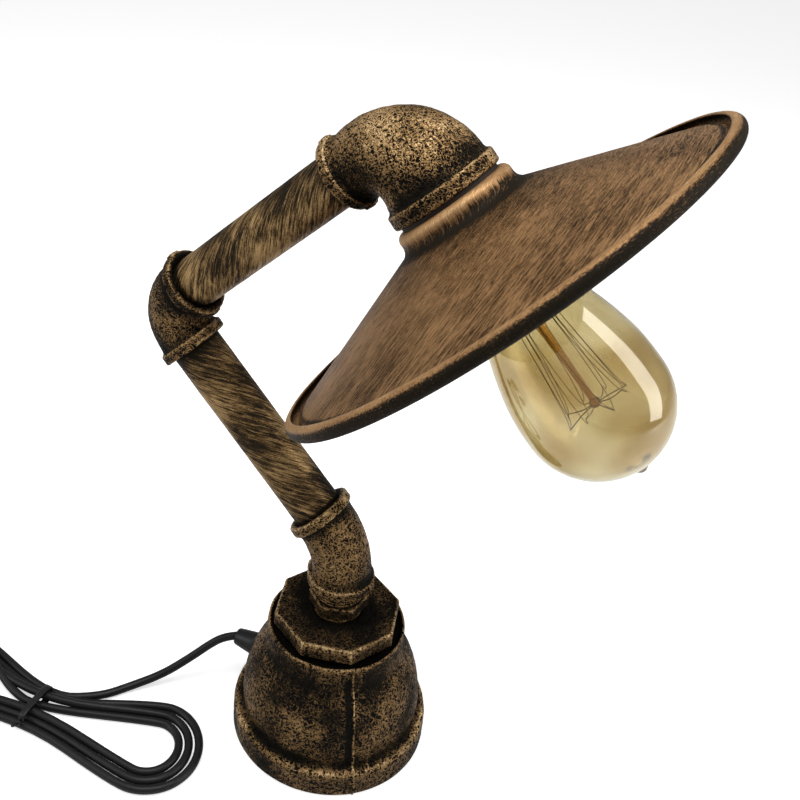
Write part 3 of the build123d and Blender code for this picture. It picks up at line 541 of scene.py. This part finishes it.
# %% [markdown]
# ## The foot
# The foot is an iron reducing socket: a wide band, a bell that curves in, and a straight top band.
# Its mould was closed along one plane, which left a thin raised line and two lugs down each side.
# The profile is turned about the vertical, then the line and the lugs are added to the radius.

# %% Foot
UP, SIDE = (0, 0, 1), (1, 0, 0)
foot_line = straight((0, 0, 0), UP, SIDE)


def bump_window(x, half, edge):
    """1 within half of the middle, falling to 0 over edge by the step 3t^2 - 2t^3."""
    t = np.clip((half - np.abs(x)) / edge, 0, 1)
    return t * t * (3 - 2 * t)


bell = through([(50.1, 17.2), (49.75, 19.4), (50.2, 24.5), (49.4, 33.0), (47.5, 41.5), (45.2, 48.6),
                (42.2, 54.4), (39.6, 58.2), (38.2, 61.2)], 8)
bell_wear = np.interp(np.arange(len(bell)), [0, 8, 18, 34, 52, 60, 64], [0, .05, .45, .5, .42, .30, .22])
outer = [(52.0, 0.0, .2), (54.6, 0.25, .6), (55.2, 1.0, .55), (55.2, 7.0, .42), (55.1, 13.2, .55),
         (54.6, 15.0, .95), (53.4, 15.9, 1.0), (52.4, 16.3, .6), (51.0, 16.7, .1)]
outer += [(r, z, w) for (r, z), w in zip(bell, bell_wear)]
outer += [(38.1, 64.0, .34), (38.1, 73.6, .5), (37.9, 74.9, .9), (37.4, 75.5, 1.1), (36.8, 75.5, .9),
          (36.4, 75.1, 0), (35.9, 73.4, -1), (32.4, 73.2, -1)]
inner = [(29.85, 73.0, 0), (29.85, 51.5, 0), (28.3, 50.6, 0), (35.7, 46.0, 0), (41.0, 34.0, 0),
         (42.4, 26.0, 0), (43.95, 26.0, 0), (43.95, 0.0, 0), (50.0, 0.0, .1)]
outer_rows = finer(np.array(outer), 0.75)
foot_rows = np.vstack([outer_rows, finer(np.array(inner), 6)])
foot_r, foot_z, foot_wear = foot_rows.T
seams = (-50.0, 130.0)
phi = ring_angles(300, [(seam, 2.4, 25) for seam in seams] + [(seam + 9.5, 1.4, 9) for seam in seams])
raise_by, seam_wear_and_shade = np.zeros((len(foot_r), len(phi))), np.zeros((len(foot_r), len(phi)))
outside = (np.arange(len(foot_r)) < len(outer_rows))[:, None]
for seam in seams:
    off = (phi - math.radians(seam) + math.pi) % (2 * math.pi) - math.pi
    across = off[None, :] * foot_r[:, None]
    high = foot_z[:, None]
    wander = 0.35 * np.sin(high / 7.0) + 0.2 * np.sin(high / 2.9)
    ridge = bump_window(across - wander, 0.75, 0.5) * np.clip((72.5 - high) / 0.6, 0, 1)
    low_lug = bump_window(across - 4.6, 4.6, 0.8) * bump_window(high - 23.4, 8.8, 1.0)
    top_lug = bump_window(across - 2.4, 2.5, 0.6) * bump_window(high - 68.5, 4.0, 0.8)
    step = np.maximum(np.maximum(0.75 * ridge, 0.75 * low_lug), 0.75 * top_lug)
    rim = np.abs(np.gradient(low_lug + top_lug, axis=1))
    raise_by = np.maximum(raise_by, step * outside)
    # A band on one side of each seam is darkened: painted shade, as a step between the mould's halves would
    # cast; the radius has no such step.
    painted_seam_shade = bump_window(across + 2.6, 2.6, 1.8)
    painted_seam_shade = painted_seam_shade * np.clip((70 - high) / 3, 0, 1) * np.clip((high - 17) / 2, 0, 1)
    seam_wear_and_shade += outside * (0.7 * ridge + 1.6 * np.clip(rim, 0, .3) - 0.55 * painted_seam_shade)
grid = wrap(foot_line, foot_z, foot_r[:, None] + raise_by, phi)
rough = (0.16 * lumps(grid, 3.2) + 0.30 * lumps(grid, 13.0)) * (outside * np.clip(foot_z / 3, 0, 1)[:, None])
grid += normals(grid, True) * rough[:, :, None]
grid[:, :, 2] = np.maximum(grid[:, :, 2], 0)
surface("foot_casting", grid, wear_and_painted_light=np.clip(foot_wear[:, None] + seam_wear_and_shade, -1, 1.2), material=casting_dark,
        replaces=["foot_socket"])

# %% [markdown]
# ## Octagon bushing
# The bushing closes the foot's top thread and carries the nipple. Seen from above its head is an
# octagon, so the radius at each angle is the flat's distance over the cosine of the angle from it.

# %% Bushing and nipple
def polygon(phi, sides, turn, soften):
    """Radius of a regular polygon over its flat's distance: 1 / cos(angle from the nearest flat), with
    the corners drawn in a little."""
    step = 2 * math.pi / sides
    off = (phi - math.radians(turn)) % step - step / 2
    return np.minimum(1 / np.cos(off), (1 / math.cos(step / 2)) - soften)


OCTAGON_CORNER, HEXAGON_CORNER = 15.2 + 22.5, -8.3 + 30  # degrees; half a side on from a flat's middle
SHARP_OCTAGON = 1.0824  # corner over flat
phi = ring_angles(240, [(OCTAGON_CORNER + 45 * k, 1.8, 7) for k in range(8)])
octagon = polygon(phi, 8, OCTAGON_CORNER, 0.004)
head = [(14.4, 85.4, -.2, 0), (18.0, 85.4, -.1, 0), (22.0, 85.42, .1, .4), (26.0, 85.42, .22, .8),
        (30.6, 85.4, .25, 1), (31.6, 85.35, .95, 1), (32.15, 85.0, 1.2, 1), (32.5, 84.4, .8, 1),
        (32.5, 80.5, .30, 1), (32.5, 77.2, .4, 1), (32.3, 76.5, .8, 1), (31.8, 76.1, .3, 1),
        (29.9, 76.1, 0, 0), (29.8, 75.0, 0, 0), (29.8, 53.2, 0, 0), (25.3, 53.2, 0, 0),
        (17.8, 70.0, 0, 0), (13.3, 70.1, 0, 0), (13.3, 84.9, 0, 0)]
rows = finer(np.array(head), 0.8)
radius = rows[:, :1] * (1 + rows[:, 3:] * (octagon - 1)[None, :])
grid = wrap(foot_line, rows[:, 1], radius, phi)
seen = np.clip((rows[:, 1] - 76) / 0.5, 0, 1)[:, None] * np.clip((rows[:, :1] - 13.5) / 2, 0, 1)
grid += normals(grid, True) * (seen * (0.14 * lumps(grid, 3.0) + 0.12 * lumps(grid, 10)))[:, :, None]
corner = bump_window((polygon(phi, 8, OCTAGON_CORNER, 0) - SHARP_OCTAGON) * 400, 6, 5)[None, :]
corner = corner * np.clip(rows[:, :1] - 31, 0, 1)
surface("bushing_casting", grid, wear_and_painted_light=rows[:, 2:3] + 0.5 * corner, material=casting_dark,
        replaces=["octagon_bushing"])

phi = ring_angles(180, [(HEXAGON_CORNER + 60 * k, 2.5, 7) for k in range(6)])
hexagon = polygon(phi, 6, HEXAGON_CORNER, 0.012)
PITCH, THREAD_R, THREAD_DEPTH = 1.814, 13.2, 0.95


def threads(low, high, steps=8):
    """Rows of a screw thread between two heights. Their wear of -1 only marks them as thread."""
    z = np.arange(low, high, PITCH / steps)
    return np.column_stack([np.full(len(z), THREAD_R), z, np.full(len(z), -1.0), np.zeros(len(z))])


rows = np.vstack([
    [(9.5, 72.4, 0, 0), (12.4, 72.4, 0, 0), (13.0, 73.0, 0, 0), (THREAD_R, 84.8, 0, 0)],
    threads(85.2, 88.2),
    [(THREAD_R, 88.35, 0, 0), (13.9, 88.5, .3, 1), (14.3, 88.9, .5, 1), (14.35, 90.4, .2, 1),
     (14.35, 93.6, .25, 1), (14.3, 94.9, .7, 1), (14.1, 95.35, 1, 1), (13.75, 95.5, .8, 1),
     (13.3, 95.5, .2, 0)],
    threads(95.7, 104.6),
    [(THREAD_R, 105.4, 0, 0), (THREAD_R, 116.6, 0, 0), (12.5, 117.6, 0, 0), (9.5, 117.6, 0, 0)]])
screwed = rows[:, 2:3] < 0
screw = (rows[:, 1:2] / PITCH - phi[None, :] / (2 * math.pi)) % 1
ridge = np.clip(1.6 * (1 - 2 * np.abs(screw - 0.5)) - 0.2, 0, 1)
radius = rows[:, :1] * (1 + rows[:, 3:] * (hexagon - 1)[None, :])
radius = radius - np.where(screwed, THREAD_DEPTH * (1 - ridge), 0)
wear_and_painted_light = np.where(screwed, 0.05 + 0.85 * ridge, rows[:, 2:3])
grid = wrap(foot_line, rows[:, 1], radius, phi)
surface("nipple_turned", grid, wear_and_painted_light=wear_and_painted_light, material=casting, replaces=["hex_nipple"])

# %% [markdown]
# ## Elbows
# Each elbow is one casting: a round body carried along a bent line, a heavier band at each end and a
# thread inside. The band faces stay black with a thin copper edge; the body's middle is brighter, and its
# upward faces brighter still, which is a painted top highlight.

# %% Elbows
LEAN, RISE, DROP = unit((-1, 0, 1)), unit((1, 0, 1)), unit((1, 0, -1))
LOWER_LEG, MIDDLE_LEG, HEAD_LEG_IN, HEAD_LEG_OUT = 24.1, 26.9, 37.1, 33.5  # corner to face
LOWER_SHOWN, UPPER_SHOWN = 108.1, 108.8  # pipe between two faces
face_0 = np.array([0, 0, 104.7])
corner_1 = face_0 + LOWER_LEG * np.array(UP)
face_1 = corner_1 + LOWER_LEG * LEAN
face_2 = face_1 + LOWER_SHOWN * LEAN
corner_2 = face_2 + MIDDLE_LEG * LEAN
face_3 = corner_2 + MIDDLE_LEG * RISE
face_4 = face_3 + UPPER_SHOWN * RISE
corner_3 = face_4 + HEAD_LEG_IN * RISE
face_5 = corner_3 + HEAD_LEG_OUT * DROP


def band_rows(start, way, thread, mouth, collar, body, width, deep=14.0):
    """Rows of one banded end: from inside the thread out over its mouth and band to the body.
    start is the face's place along the line, and way is 1 or -1 from the face into the casting."""
    shape = [(deep, thread, 0), (2.4, thread, 0), (0.3, mouth, .0), (0.0, mouth + .4, .1),
             (0.0, collar - 1.3, .35), (0.12, collar - .6, .8), (0.6, collar - .08, 1.0),
             (1.2, collar, .7), (width / 2, collar, .45),
             (width - 1.2, collar, .62), (width - .5, collar - .1, 1.0), (width - .08, collar - .6, .7),
             (width + .1, body + 1.3, .05), (width + .7, body + .6, .0), (width + 1.8, body + .1, .05)]
    return np.array([(start + way * s, r, w) for s, r, w in shape])


def elbow(name, line, length, ends, body_r, body, node, count=150, lug=7.0, grain=0.20, tone=0.0):
    """Body and both banded ends in one closed profile, with the casting's lugs and lumps added."""
    (thread_a, mouth_a, collar_a, width_a), (thread_b, mouth_b, collar_b, width_b) = ends
    start = band_rows(0, 1, thread_a, mouth_a, collar_a, body_r(0.0), width_a)
    end = band_rows(length, -1, thread_b, mouth_b, collar_b, body_r(1.0), width_b)[::-1]
    s = np.linspace(start[-1, 0] + 1.5, end[0, 0] - 1.5, 26)
    share = (s - s[0]) / (s[-1] - s[0])
    middle = np.column_stack([s, [body_r(v) for v in s / length],
                              0.18 + 0.40 * np.sin(math.pi * share) ** 0.5])
    way = np.array([(end[-1, 0] - 0.6, thread_b - 3, 0), (start[0, 0] + 0.6, thread_a - 3, 0)])
    rows = finer(np.vstack([start, middle, end, way]), 0.9)
    phi = ring_angles(count, [(0, 16, 24), (180, 16, 24)])
    shown = np.clip((rows[:, 1] - min(thread_a, thread_b) - 0.8) / 1.2, 0, 1)[:, None]
    r = np.broadcast_to(rows[:, 1:2], (len(rows), len(phi))).copy()
    wear_and_painted_light = np.broadcast_to(rows[:, 2:3], r.shape).copy()
    for spot in (0, math.pi):
        across = ((phi - spot + math.pi) % (2 * math.pi) - math.pi)[None, :] * rows[:, 1:2]
        for at, width, collar in ((0, width_a, collar_a), (length, width_b, collar_b)):
            inside = bump_window(rows[:, :1] - abs(at - width / 2), width / 2 - 0.6, 0.5)
            tab = bump_window(across, lug / 2, 0.7) * (inside * (rows[:, 1:2] > collar - 0.8))
            r += 0.8 * tab
            wear_and_painted_light += 0.35 * tab
        seam = bump_window(across, 0.9, 0.8) * (rows[:, 1:2] > min(collar_a, collar_b) * 0.8)
        r += 0.22 * seam * shown
    grid = wrap(line, rows[:, 0], r, phi)
    out = normals(grid, True)
    # Upward-facing faces get more copper: a painted top highlight, as from a lamp overhead.
    wear_and_painted_light += shown * (0.42 * out[:, :, 2] + tone)
    grid += out * (shown * (grain * lumps(grid, 2.6) + 0.22 * lumps(grid, 9.0)))[:, :, None]
    return surface(name, grid, wear_and_painted_light=wear_and_painted_light, material=casting, body=body, replaces=[node])


# thread, mouth and band radius, then the band's width
SMALL = (13.3, 15.5, 18.25, 5.6)
LARGE = (21.0, 23.0, 27.3, 7.0)
line, length = bent(corner_1, UP, LEAN, LOWER_LEG, LOWER_LEG, 17.1)
elbow("lower_elbow_casting", line, length, (SMALL, SMALL), lambda v: 16.0, "lower_arm", "lower_elbow")
line, length = bent(corner_2, LEAN, RISE, MIDDLE_LEG, MIDDLE_LEG, 19.9)
elbow("middle_elbow_casting", line, length, (SMALL, SMALL), lambda v: 16.0, "upper_arm", "middle_elbow",
      tone=-0.30)
line, length = bent(corner_3, RISE, DROP, HEAD_LEG_IN, HEAD_LEG_OUT, 25.1)


def swell(v):
    """Radius of the reducing elbow's body: slim behind the small band, full from four fifths on."""
    t = min(max((v - 0.06) / 0.74, 0), 1)
    return 16.3 + 8.7 * t * t * (3 - 2 * t)


elbow("head_elbow_casting", line, length, (SMALL, LARGE), swell, "head", "head_elbow", count=200,
      lug=8.0, tone=-0.04)

# %% [markdown]
# ## Pipes
# A pipe is a plain tube, but hand brushing and an uneven coat keep it from looking like a drawn line.
# The tube is worked out with slight waves a tenth of a millimetre high, and each point stores its
# place in the brush's own pattern, so that the strokes wind round the tube.

# %% Pipes
PIPE_R = 13.45
WINDING = math.radians(38)


def pipe(name, start, along, show, node, body):
    """Tube with 13 mm of thread beyond each face, its radius PIPE_R plus waves of 0.1. Place in the brush's
    pattern = (R cos a, R sin a, 0.1 s), with a = phi + s tan(winding) / R."""
    rows = np.array([(-13, 10.9, 0), (-13, 13.1, 0), (-0.6, 13.15, 0), (0.0, 13.3, .1), (0.6, PIPE_R, .3)]
                    + [(s, PIPE_R, 0.5) for s in np.linspace(2, show - 2, int(show / 1.3))]
                    + [(show - 0.6, PIPE_R, .3), (show, 13.3, .1), (show + 0.6, 13.15, 0),
                       (show + 13, 13.1, 0), (show + 13, 10.9, 0)])
    phi = ring_angles(160)
    grid = wrap(straight(start, along, (0, 1, 0)), rows[:, 0], rows[:, 1], phi)
    skin = (rows[:, 1] > 13.4)[:, None] * (0.10 * lumps(grid, 14.0) + 0.05 * lumps(grid, 3.0))
    grid += normals(grid, True) * skin[:, :, None]
    near_end = np.minimum(rows[:, 0], show - rows[:, 0])
    worn = rows[:, 2] - 0.35 * np.exp(-np.clip(near_end, 0, None) / 4.0) * (rows[:, 1] > 13.4)
    turned = phi[None, :] + rows[:, :1] * math.tan(WINDING) / PIPE_R
    stroke = np.stack([PIPE_R * np.cos(turned), PIPE_R * np.sin(turned), 0.10 * rows[:, :1] + 0 * turned],
                      axis=2)
    return surface(name, grid, wear_and_painted_light=worn, stroke=stroke, material=pipe_swirl, body=body, replaces=[node],
                   around=2 * math.pi * PIPE_R)


pipe("lower_pipe_tube", face_1, LEAN, LOWER_SHOWN, "lower_pipe", "lower_arm")
pipe("upper_pipe_tube", face_3, RISE, UPPER_SHOWN, "upper_pipe", "upper_arm")

# %% [markdown]
# ## Shade
# The shade is spun from one sheet: a neck with a round shoulder, a shallow cone, and a rim that dips and
# rolls back on itself so that its edge is stiff. Its section is a middle line with half the sheet to
# each side. The middle line is built from runs and arcs by walking along it. The brush strokes run
# straight down on one side, slant across the front and circle the neck on the other side: a family of
# parabolas round one focus does that, and its pattern place is sqrt(r) times (cos, sin) of half the angle.

# %% Shade
SHEET = 1.0
FALL = math.radians(20.5)


def walk(start, heading, moves, step=0.6):
    """Points along straight runs and arcs: each move is (length, turn); a turn is spread evenly along
    its length, so the heading changes by turn / length per millimetre."""
    points, angles = [np.array(start, float)], [heading]
    for length, turn in moves:
        n = max(2, int(math.ceil(max(length / step, abs(turn) / math.radians(9)))))
        for k in range(n):
            a = angles[-1] + turn / n / 2
            points.append(points[-1] + length / n * np.array([math.cos(a), math.sin(a)]))
            angles.append(angles[-1] + turn / n)
    return np.array(points), np.array(angles)


quarter = math.pi / 2
knee_turn = quarter - FALL
neck_r, knee_z = 28.7, 2.0 + 9.0 + 0.5 / math.cos(FALL) - 0.5 * math.tan(FALL)
knee_run = 6.0 * math.tan(knee_turn / 2)
bead_r, bead_at, dip = 3.3, 113.7, math.radians(58)
end_r = bead_at + 2.0 * math.sin(FALL) - 5.3 * math.sin(FALL + dip)
moves = [(neck_r - 20.1 - 3.0, 0), (3.0 * quarter, quarter), (knee_z - 2.5 - 3.0 - knee_run, 0),
         (6.0 * knee_turn, -knee_turn), ((end_r - neck_r) / math.cos(FALL) - knee_run, 0),
         (2.0 * dip, dip), (bead_r * math.radians(270), -math.radians(270))]
middle, heading = walk((20.1, 2.5), 0.0, moves)
side = np.column_stack([np.sin(heading), -np.cos(heading)])
far = np.cumsum(np.concatenate([[0], np.linalg.norm(np.diff(middle, axis=0), axis=1)]))
top, under = middle + SHEET / 2 * side, middle - SHEET / 2 * side
marks = np.array([0, 6, 9.5, 12, 17, 22, 40, far[-1] - 26, far[-1] - 20.5, far[-1] - 18.6, far[-1] - 17.5,
                  far[-1] - 13, far[-1] - 9, far[-1] - 5, far[-1]])
worn = np.interp(far, marks, [.3, .9, 1.25, .5, -.1, .40, .55, .55, .6, .05, .30, 1.0, .70, 0, 0])
rolled = np.interp(far, far[-1] - np.array([15.5, 5.2, 4.2, 3.2, 2.0, 1.0, 0]),
                   [0, 0, .15, .75, 1.0, 1.0, .8])
shade_rows = np.vstack([np.column_stack([top, worn]), np.column_stack([under, rolled])[::-1]])
shade_line = straight(face_5, DROP, (0, 1, 0))
phi = ring_angles(320)
grid = wrap(shade_line, shade_rows[:, 1], shade_rows[:, 0], phi)
waves = 0.10 * lumps(grid, 26.0) * np.clip((shade_rows[:, 0] - 32) / 10, 0, 1)[:, None]
grid += unit(DROP) * waves[:, :, None]
beaded = np.concatenate([far, far[::-1]]) > far[-1] - bead_r * math.radians(270)
half_turn = (math.radians(450) - phi[None, :]) % (2 * math.pi) / 2
spread = 8.0 * np.sqrt(shade_rows[:, :1])
stroke = np.stack([2.0 * spread * np.cos(half_turn), 0.11 * spread * np.sin(half_turn),
                   np.where(beaded, 1.0, 0.02)[:, None] * shade_rows[:, 1:2] + 0 * half_turn], axis=2)
print("shade rows", len(shade_rows), "rim radius", round(float(shade_rows[:, 0].max()), 2))
surface("shade_spun", grid, wear_and_painted_light=shade_rows[:, 2], stroke=stroke, material=shade_brush, body="head",
        replaces=["shade"], around=2 * math.pi * 70)

# %% [markdown]
# ## Bulb
# A pear-shaped filament bulb: thin amber glass with a pinched tip, a screw cap, and inside it a glass
# stem whose hub carries two rings of hooks. The carbon thread runs up and down between the rings.
# Both walls of the glass are modelled, because one sheet alone would bend light as a solid lens does.

# %% Bulb glass
bulb_line = straight(face_5 + 7.6 * DROP, DROP, (0, 1, 0))
WALL = 0.8
a = np.linspace(0, math.pi / 2, 22)
side_line = through([(14.0, 28.0), (16.2, 34.5), (20.0, 44.0), (24.0, 54.0), (27.75, 64.0), (31.1, 75.0),
                     (33.6, 86.0), (34.75, 96.0), (35.0, 105.0)], 6)
crown = np.column_stack([35 * np.cos(a), 105 + 35 * np.sin(a)])[1:]
tip = np.array([(5.0, 139.6), (4.6, 140.4), (3.7, 141.4), (2.8, 142.4), (1.8, 143.1), (0.9, 143.4),
                (0.0, 143.45)])
outside_glass = np.vstack([[(12.0, 17.5), (12.0, 24.5)], side_line, crown[crown[:, 0] > 5.6], tip])
inner_crown = np.column_stack([34.2 * np.cos(a), 105 + 34.2 * np.sin(a)])[1:]
inside_glass = np.vstack([side_line - [WALL, 0], inner_crown])
inside_glass = np.vstack([[(11.2, 17.5), (11.2, 24.7)], inside_glass])[::-1]
rows = np.vstack([outside_glass, inside_glass])
grid = wrap(bulb_line, rows[:, 1], np.maximum(rows[:, 0], 0), ring_angles(96))
surface("bulb_envelope", grid, material=amber, body="bulb", replaces=["bulb_glass"])

# %% Bulb stem, hooks and thread
def in_bulb(turn, reach, z):
    """Point at a turn in degrees about the bulb's axis, a reach from it, z from the cap's contact."""
    middle, side, other = bulb_line(np.array([z], float))
    t = math.radians(turn)
    return (middle + reach * (math.cos(t) * side + math.sin(t) * other))[0]


stem = np.array([(11.1, 17.2), (11.1, 18.6), (8.6, 20.5), (6.6, 23.5), (6.0, 30.0), (5.0, 38.0),
                 (3.6, 52.0), (2.3, 66.0), (1.7, 84.0), (1.5, 102.4), (2.3, 103.6), (2.5, 105.0),
                 (2.2, 106.4), (1.2, 107.2), (0.0, 107.4)])
stem_rows = np.vstack([[(0.0, 17.2)], through(stem, 5)])
grid = wrap(bulb_line, stem_rows[:, 1], np.maximum(stem_rows[:, 0], 0), ring_angles(40))
surface("bulb_stem_glass", grid, closed=False, material=stem_clear, body="bulb", replaces=["bulb_stem"])
HOOKS, HIGH, LOW = 8, 105.6, 52.0
hook_parts, thread_points = [], []
for k in range(HOOKS):
    turn = 360 * k / HOOKS
    half = turn + 180 / HOOKS
    eye = in_bulb(turn, 15.0 + (1.2 if k % 2 else 0), HIGH + (2.2 if k % 2 else -0.8))
    hook_parts.append([in_bulb(turn, 2.0, HIGH), in_bulb(turn + 4, 8.0, HIGH + 0.6), eye])
    hook_parts.append([in_bulb(half, 3.4, LOW), in_bulb(half, 6.0, LOW + 0.4), in_bulb(half, 9.0, LOW)])
    bow = in_bulb(turn, 16.2, HIGH + 1.2)
    thread_points += [eye, bow, in_bulb(turn + 9, 14.2, HIGH - 4.0), in_bulb(half - 3, 11.4, 78.0),
                      in_bulb(half, 9.2, LOW + 0.2), in_bulb(half + 3, 11.4, 78.0),
                      in_bulb(turn + 36, 14.2, HIGH - 4.0)]
hook_meshes = [tube(f"hook_{k}", through(p, 4), 0.40, hook_dark, "bulb", 6) for k, p in enumerate(hook_parts)]
thread = tube("bulb_thread", through(thread_points[:-1], 4), 0.30, carbon, "bulb", 7, ["bulb_filament"])


def joined(name, parts, replaces=(), body="root"):
    """One piece out of several meshes, each kept as its own shell."""
    whole = bmesh.new()
    for part in parts:
        whole.from_mesh(part.data)
    mesh = bpy.data.meshes.new(name)
    whole.to_mesh(mesh)
    whole.free()
    material = parts[0].data.materials[0]
    for part in parts:
        bpy.data.objects.remove(part, do_unlink=True)
    mesh.shade_smooth()
    return placed(name, mesh, material, body, replaces)


joined("bulb_hooks", hook_meshes, ["filament_hooks"], "bulb")

# %% [markdown]
# ## Strain relief
# The cord leaves the foot in a moulded relief: a smooth tapered sleeve with a rounded end.

# %% Strain relief
relief_line = straight((-48.5, 0, 31), (-1, 0, 0), (0, 1, 0))
sleeve = [(0, 4.45), (0, 6.6), (1.2, 6.68), (4.0, 6.3), (8.0, 5.7)]
sleeve += [(12.9, 4.95), (13.7, 4.5), (14.0, 3.7), (14.0, 2.5), (13.0, 2.45)]
rows = np.vstack([[(-11.5, 2.45), (-11.5, 4.45)], sleeve])
grid = wrap(relief_line, rows[:, 0], rows[:, 1], ring_angles(48))
surface("relief_sleeve", grid, material=moulded, replaces=["strain_relief"])

# %% [markdown]
# ## Tie
# A flat tie holds the hank's waist. It is one band on a rounded box line, with its ends twisted
# together into two short tails on top.

# %% Tie
t = np.linspace(0, 2 * math.pi, 64, endpoint=False)
across = np.sign(np.cos(t)) * np.abs(np.cos(t)) ** 0.45 * 13.4
high = 5.1 + np.sign(np.sin(t)) * np.abs(np.sin(t)) ** 0.5 * 5.05
ring = np.stack([np.full(64, -147.5), -81.3 + across, high], axis=1)
inner_ring = np.stack([np.full(64, -147.5), -81.3 + across * 0.93, 5.1 + (high - 5.1) * 0.84], axis=1)
rings = [inner_ring + [-2.0, 0, 0], ring + [-1.9, 0, 0], ring + [-1.2, 0, 0.12], ring + [1.2, 0, 0.12],
         ring + [1.9, 0, 0], inner_ring + [2.0, 0, 0]]
surface("tie_band", np.array(rings), material=moulded, replaces=["cord_tie"])
twist = np.linspace(0, 1, 26)
for k, way in enumerate((0, math.pi)):
    a = way + 9.0 * twist * (twist < 0.5) + 4.5 * (twist >= 0.5)
    spread = np.where(twist < 0.5, 1.0, 1.0 + 5.0 * (twist - 0.5))
    line = np.column_stack([-147.5 + spread * np.cos(a), -96.0 - 3.0 * twist + spread * np.sin(a) * 0.6,
                            5.0 + 2.6 * twist + 0.4 * np.sin(a)])
    tube(f"tie_tail_{k}", line, 1.5, moulded, "root", 8)

# %% [markdown]
# ## Pieces that stay as the solid model has them
# The holder, cap, switch, plug and the hidden pieces already have the right shape, so they only get
# their finish.

# %% Finishes for the other pieces
kept = {
    "base_cover": sheet_black, "felt_pad": felt, "lampholder": phenolic, "screw_shell": brass,
    "centre_contact": brass, "shade_washer": fibre, "shade_ring": phenolic, "bulb_cap": brass,
    "cap_insulator": vitrite, "cap_contact": brass, "foot_cable": rubber, "lower_cable": rubber,
    "upper_cable": rubber, "head_cable": rubber, "relief_nut": moulded, "switch_lower_shell": moulded,
    "switch_upper_shell": moulded, "switch_rocker": moulded, "plug_body": moulded, "plug_pins": pin_metal,
}
for name, material in kept.items():
    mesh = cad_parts[name].data
    mesh.materials.clear()
    mesh.materials.append(material)
print(len(kept), "solids keep their shape")

# %% [markdown]
# ## Floor and light
# A plain white floor, one large soft lamp above and a little in front, a weaker one at the left, and a
# long one at the right whose long side lies along the bulb. The lamps' shapes are what the glass and the
# copper mirror, so they are rectangles.

# %% Floor
def white_world():
    """World that is white where it is seen or mirrored and dimmer where it only lights."""
    world = bpy.data.worlds.new("studio")
    scene.world = world
    world.use_nodes = True
    tree = world.node_tree
    path = tree.nodes.new("ShaderNodeLightPath")
    seen = tree.nodes.new("ShaderNodeMath")
    seen.operation = "MAXIMUM"
    tree.links.new(path.outputs["Is Camera Ray"], seen.inputs[0])
    tree.links.new(path.outputs["Is Transmission Ray"], seen.inputs[1])
    strength = tree.nodes.new("ShaderNodeMapRange")
    tree.links.new(seen.outputs[0], strength.inputs["Value"])
    strength.inputs["To Min"].default_value = 0.24
    strength.inputs["To Max"].default_value = 1.0
    background = tree.nodes["Background"]
    background.inputs["Color"].default_value = (1, 1, 1, 1)
    tree.links.new(strength.outputs[0], background.inputs["Strength"])


white_world()
floor_mesh = bpy.data.meshes.new("floor")
size = 4.0
floor_mesh.from_pydata([(-size, -size, 0), (size, -size, 0), (size, size, 0), (-size, size, 0)], [],
                       [(0, 1, 2, 3)])
floor = bpy.data.objects.new("floor", floor_mesh)
scene.collection.objects.link(floor)
floor_finish, node, join, shader = finish("floor_white")
path = node("ShaderNodeLightPath")
seen = arithmetic(node, "MAXIMUM", path.outputs["Is Camera Ray"], path.outputs["Is Transmission Ray"])
glow = node("ShaderNodeEmission", {"Color": (1, 1, 1, 1),
                                   "Strength": arithmetic(node, "MULTIPLY", seen, 0.62)})
shader.inputs["Base Color"].default_value = (0.9, 0.9, 0.9, 1)
shader.inputs["Roughness"].default_value = 0.9
both = node("ShaderNodeAddShader", {0: shader.outputs[0], 1: glow.outputs[0]})
output = [n for n in shader.id_data.nodes if n.type == "OUTPUT_MATERIAL"][0]
join(both.outputs[0], output.inputs["Surface"])
floor_mesh.materials.append(floor_finish)


# %% Lamps
def lamp(name, spot, aim, wide, tall, power, long_way=(0.0, 0.0, 1.0)):
    """Rectangular soft lamp at a spot, turned to face an aim point, its tall side along long_way."""
    light = bpy.data.lights.new(name, "AREA")
    light.shape = "RECTANGLE"
    light.size, light.size_y, light.energy = wide, tall, power
    made = bpy.data.objects.new(name, light)
    z = unit(np.array(spot) - np.array(aim))
    x = unit(np.cross(long_way, z))
    columns = np.column_stack([x, np.cross(z, x), z, spot])
    made.matrix_world = Matrix(np.vstack([columns, [0, 0, 0, 1]]).tolist())
    scene.collection.objects.link(made)
    return made


lamp("key", (0.05, -0.15, 1.25), (0.0, 0.0, 0.25), 0.8, 0.6, 9.0, (0.0, 1.0, 0.0))
lamp("left", (-1.0, -0.75, 0.75), (-0.05, 0.0, 0.2), 0.4, 0.9, 4.5)
lamp("band", (0.85, 0.28, 0.69), (0.10, 0.0, 0.27), 0.42, 1.3, 6.5, DROP)
scene.view_settings.view_transform = "Standard"

# %% Finish
bpy.context.view_layer.update()
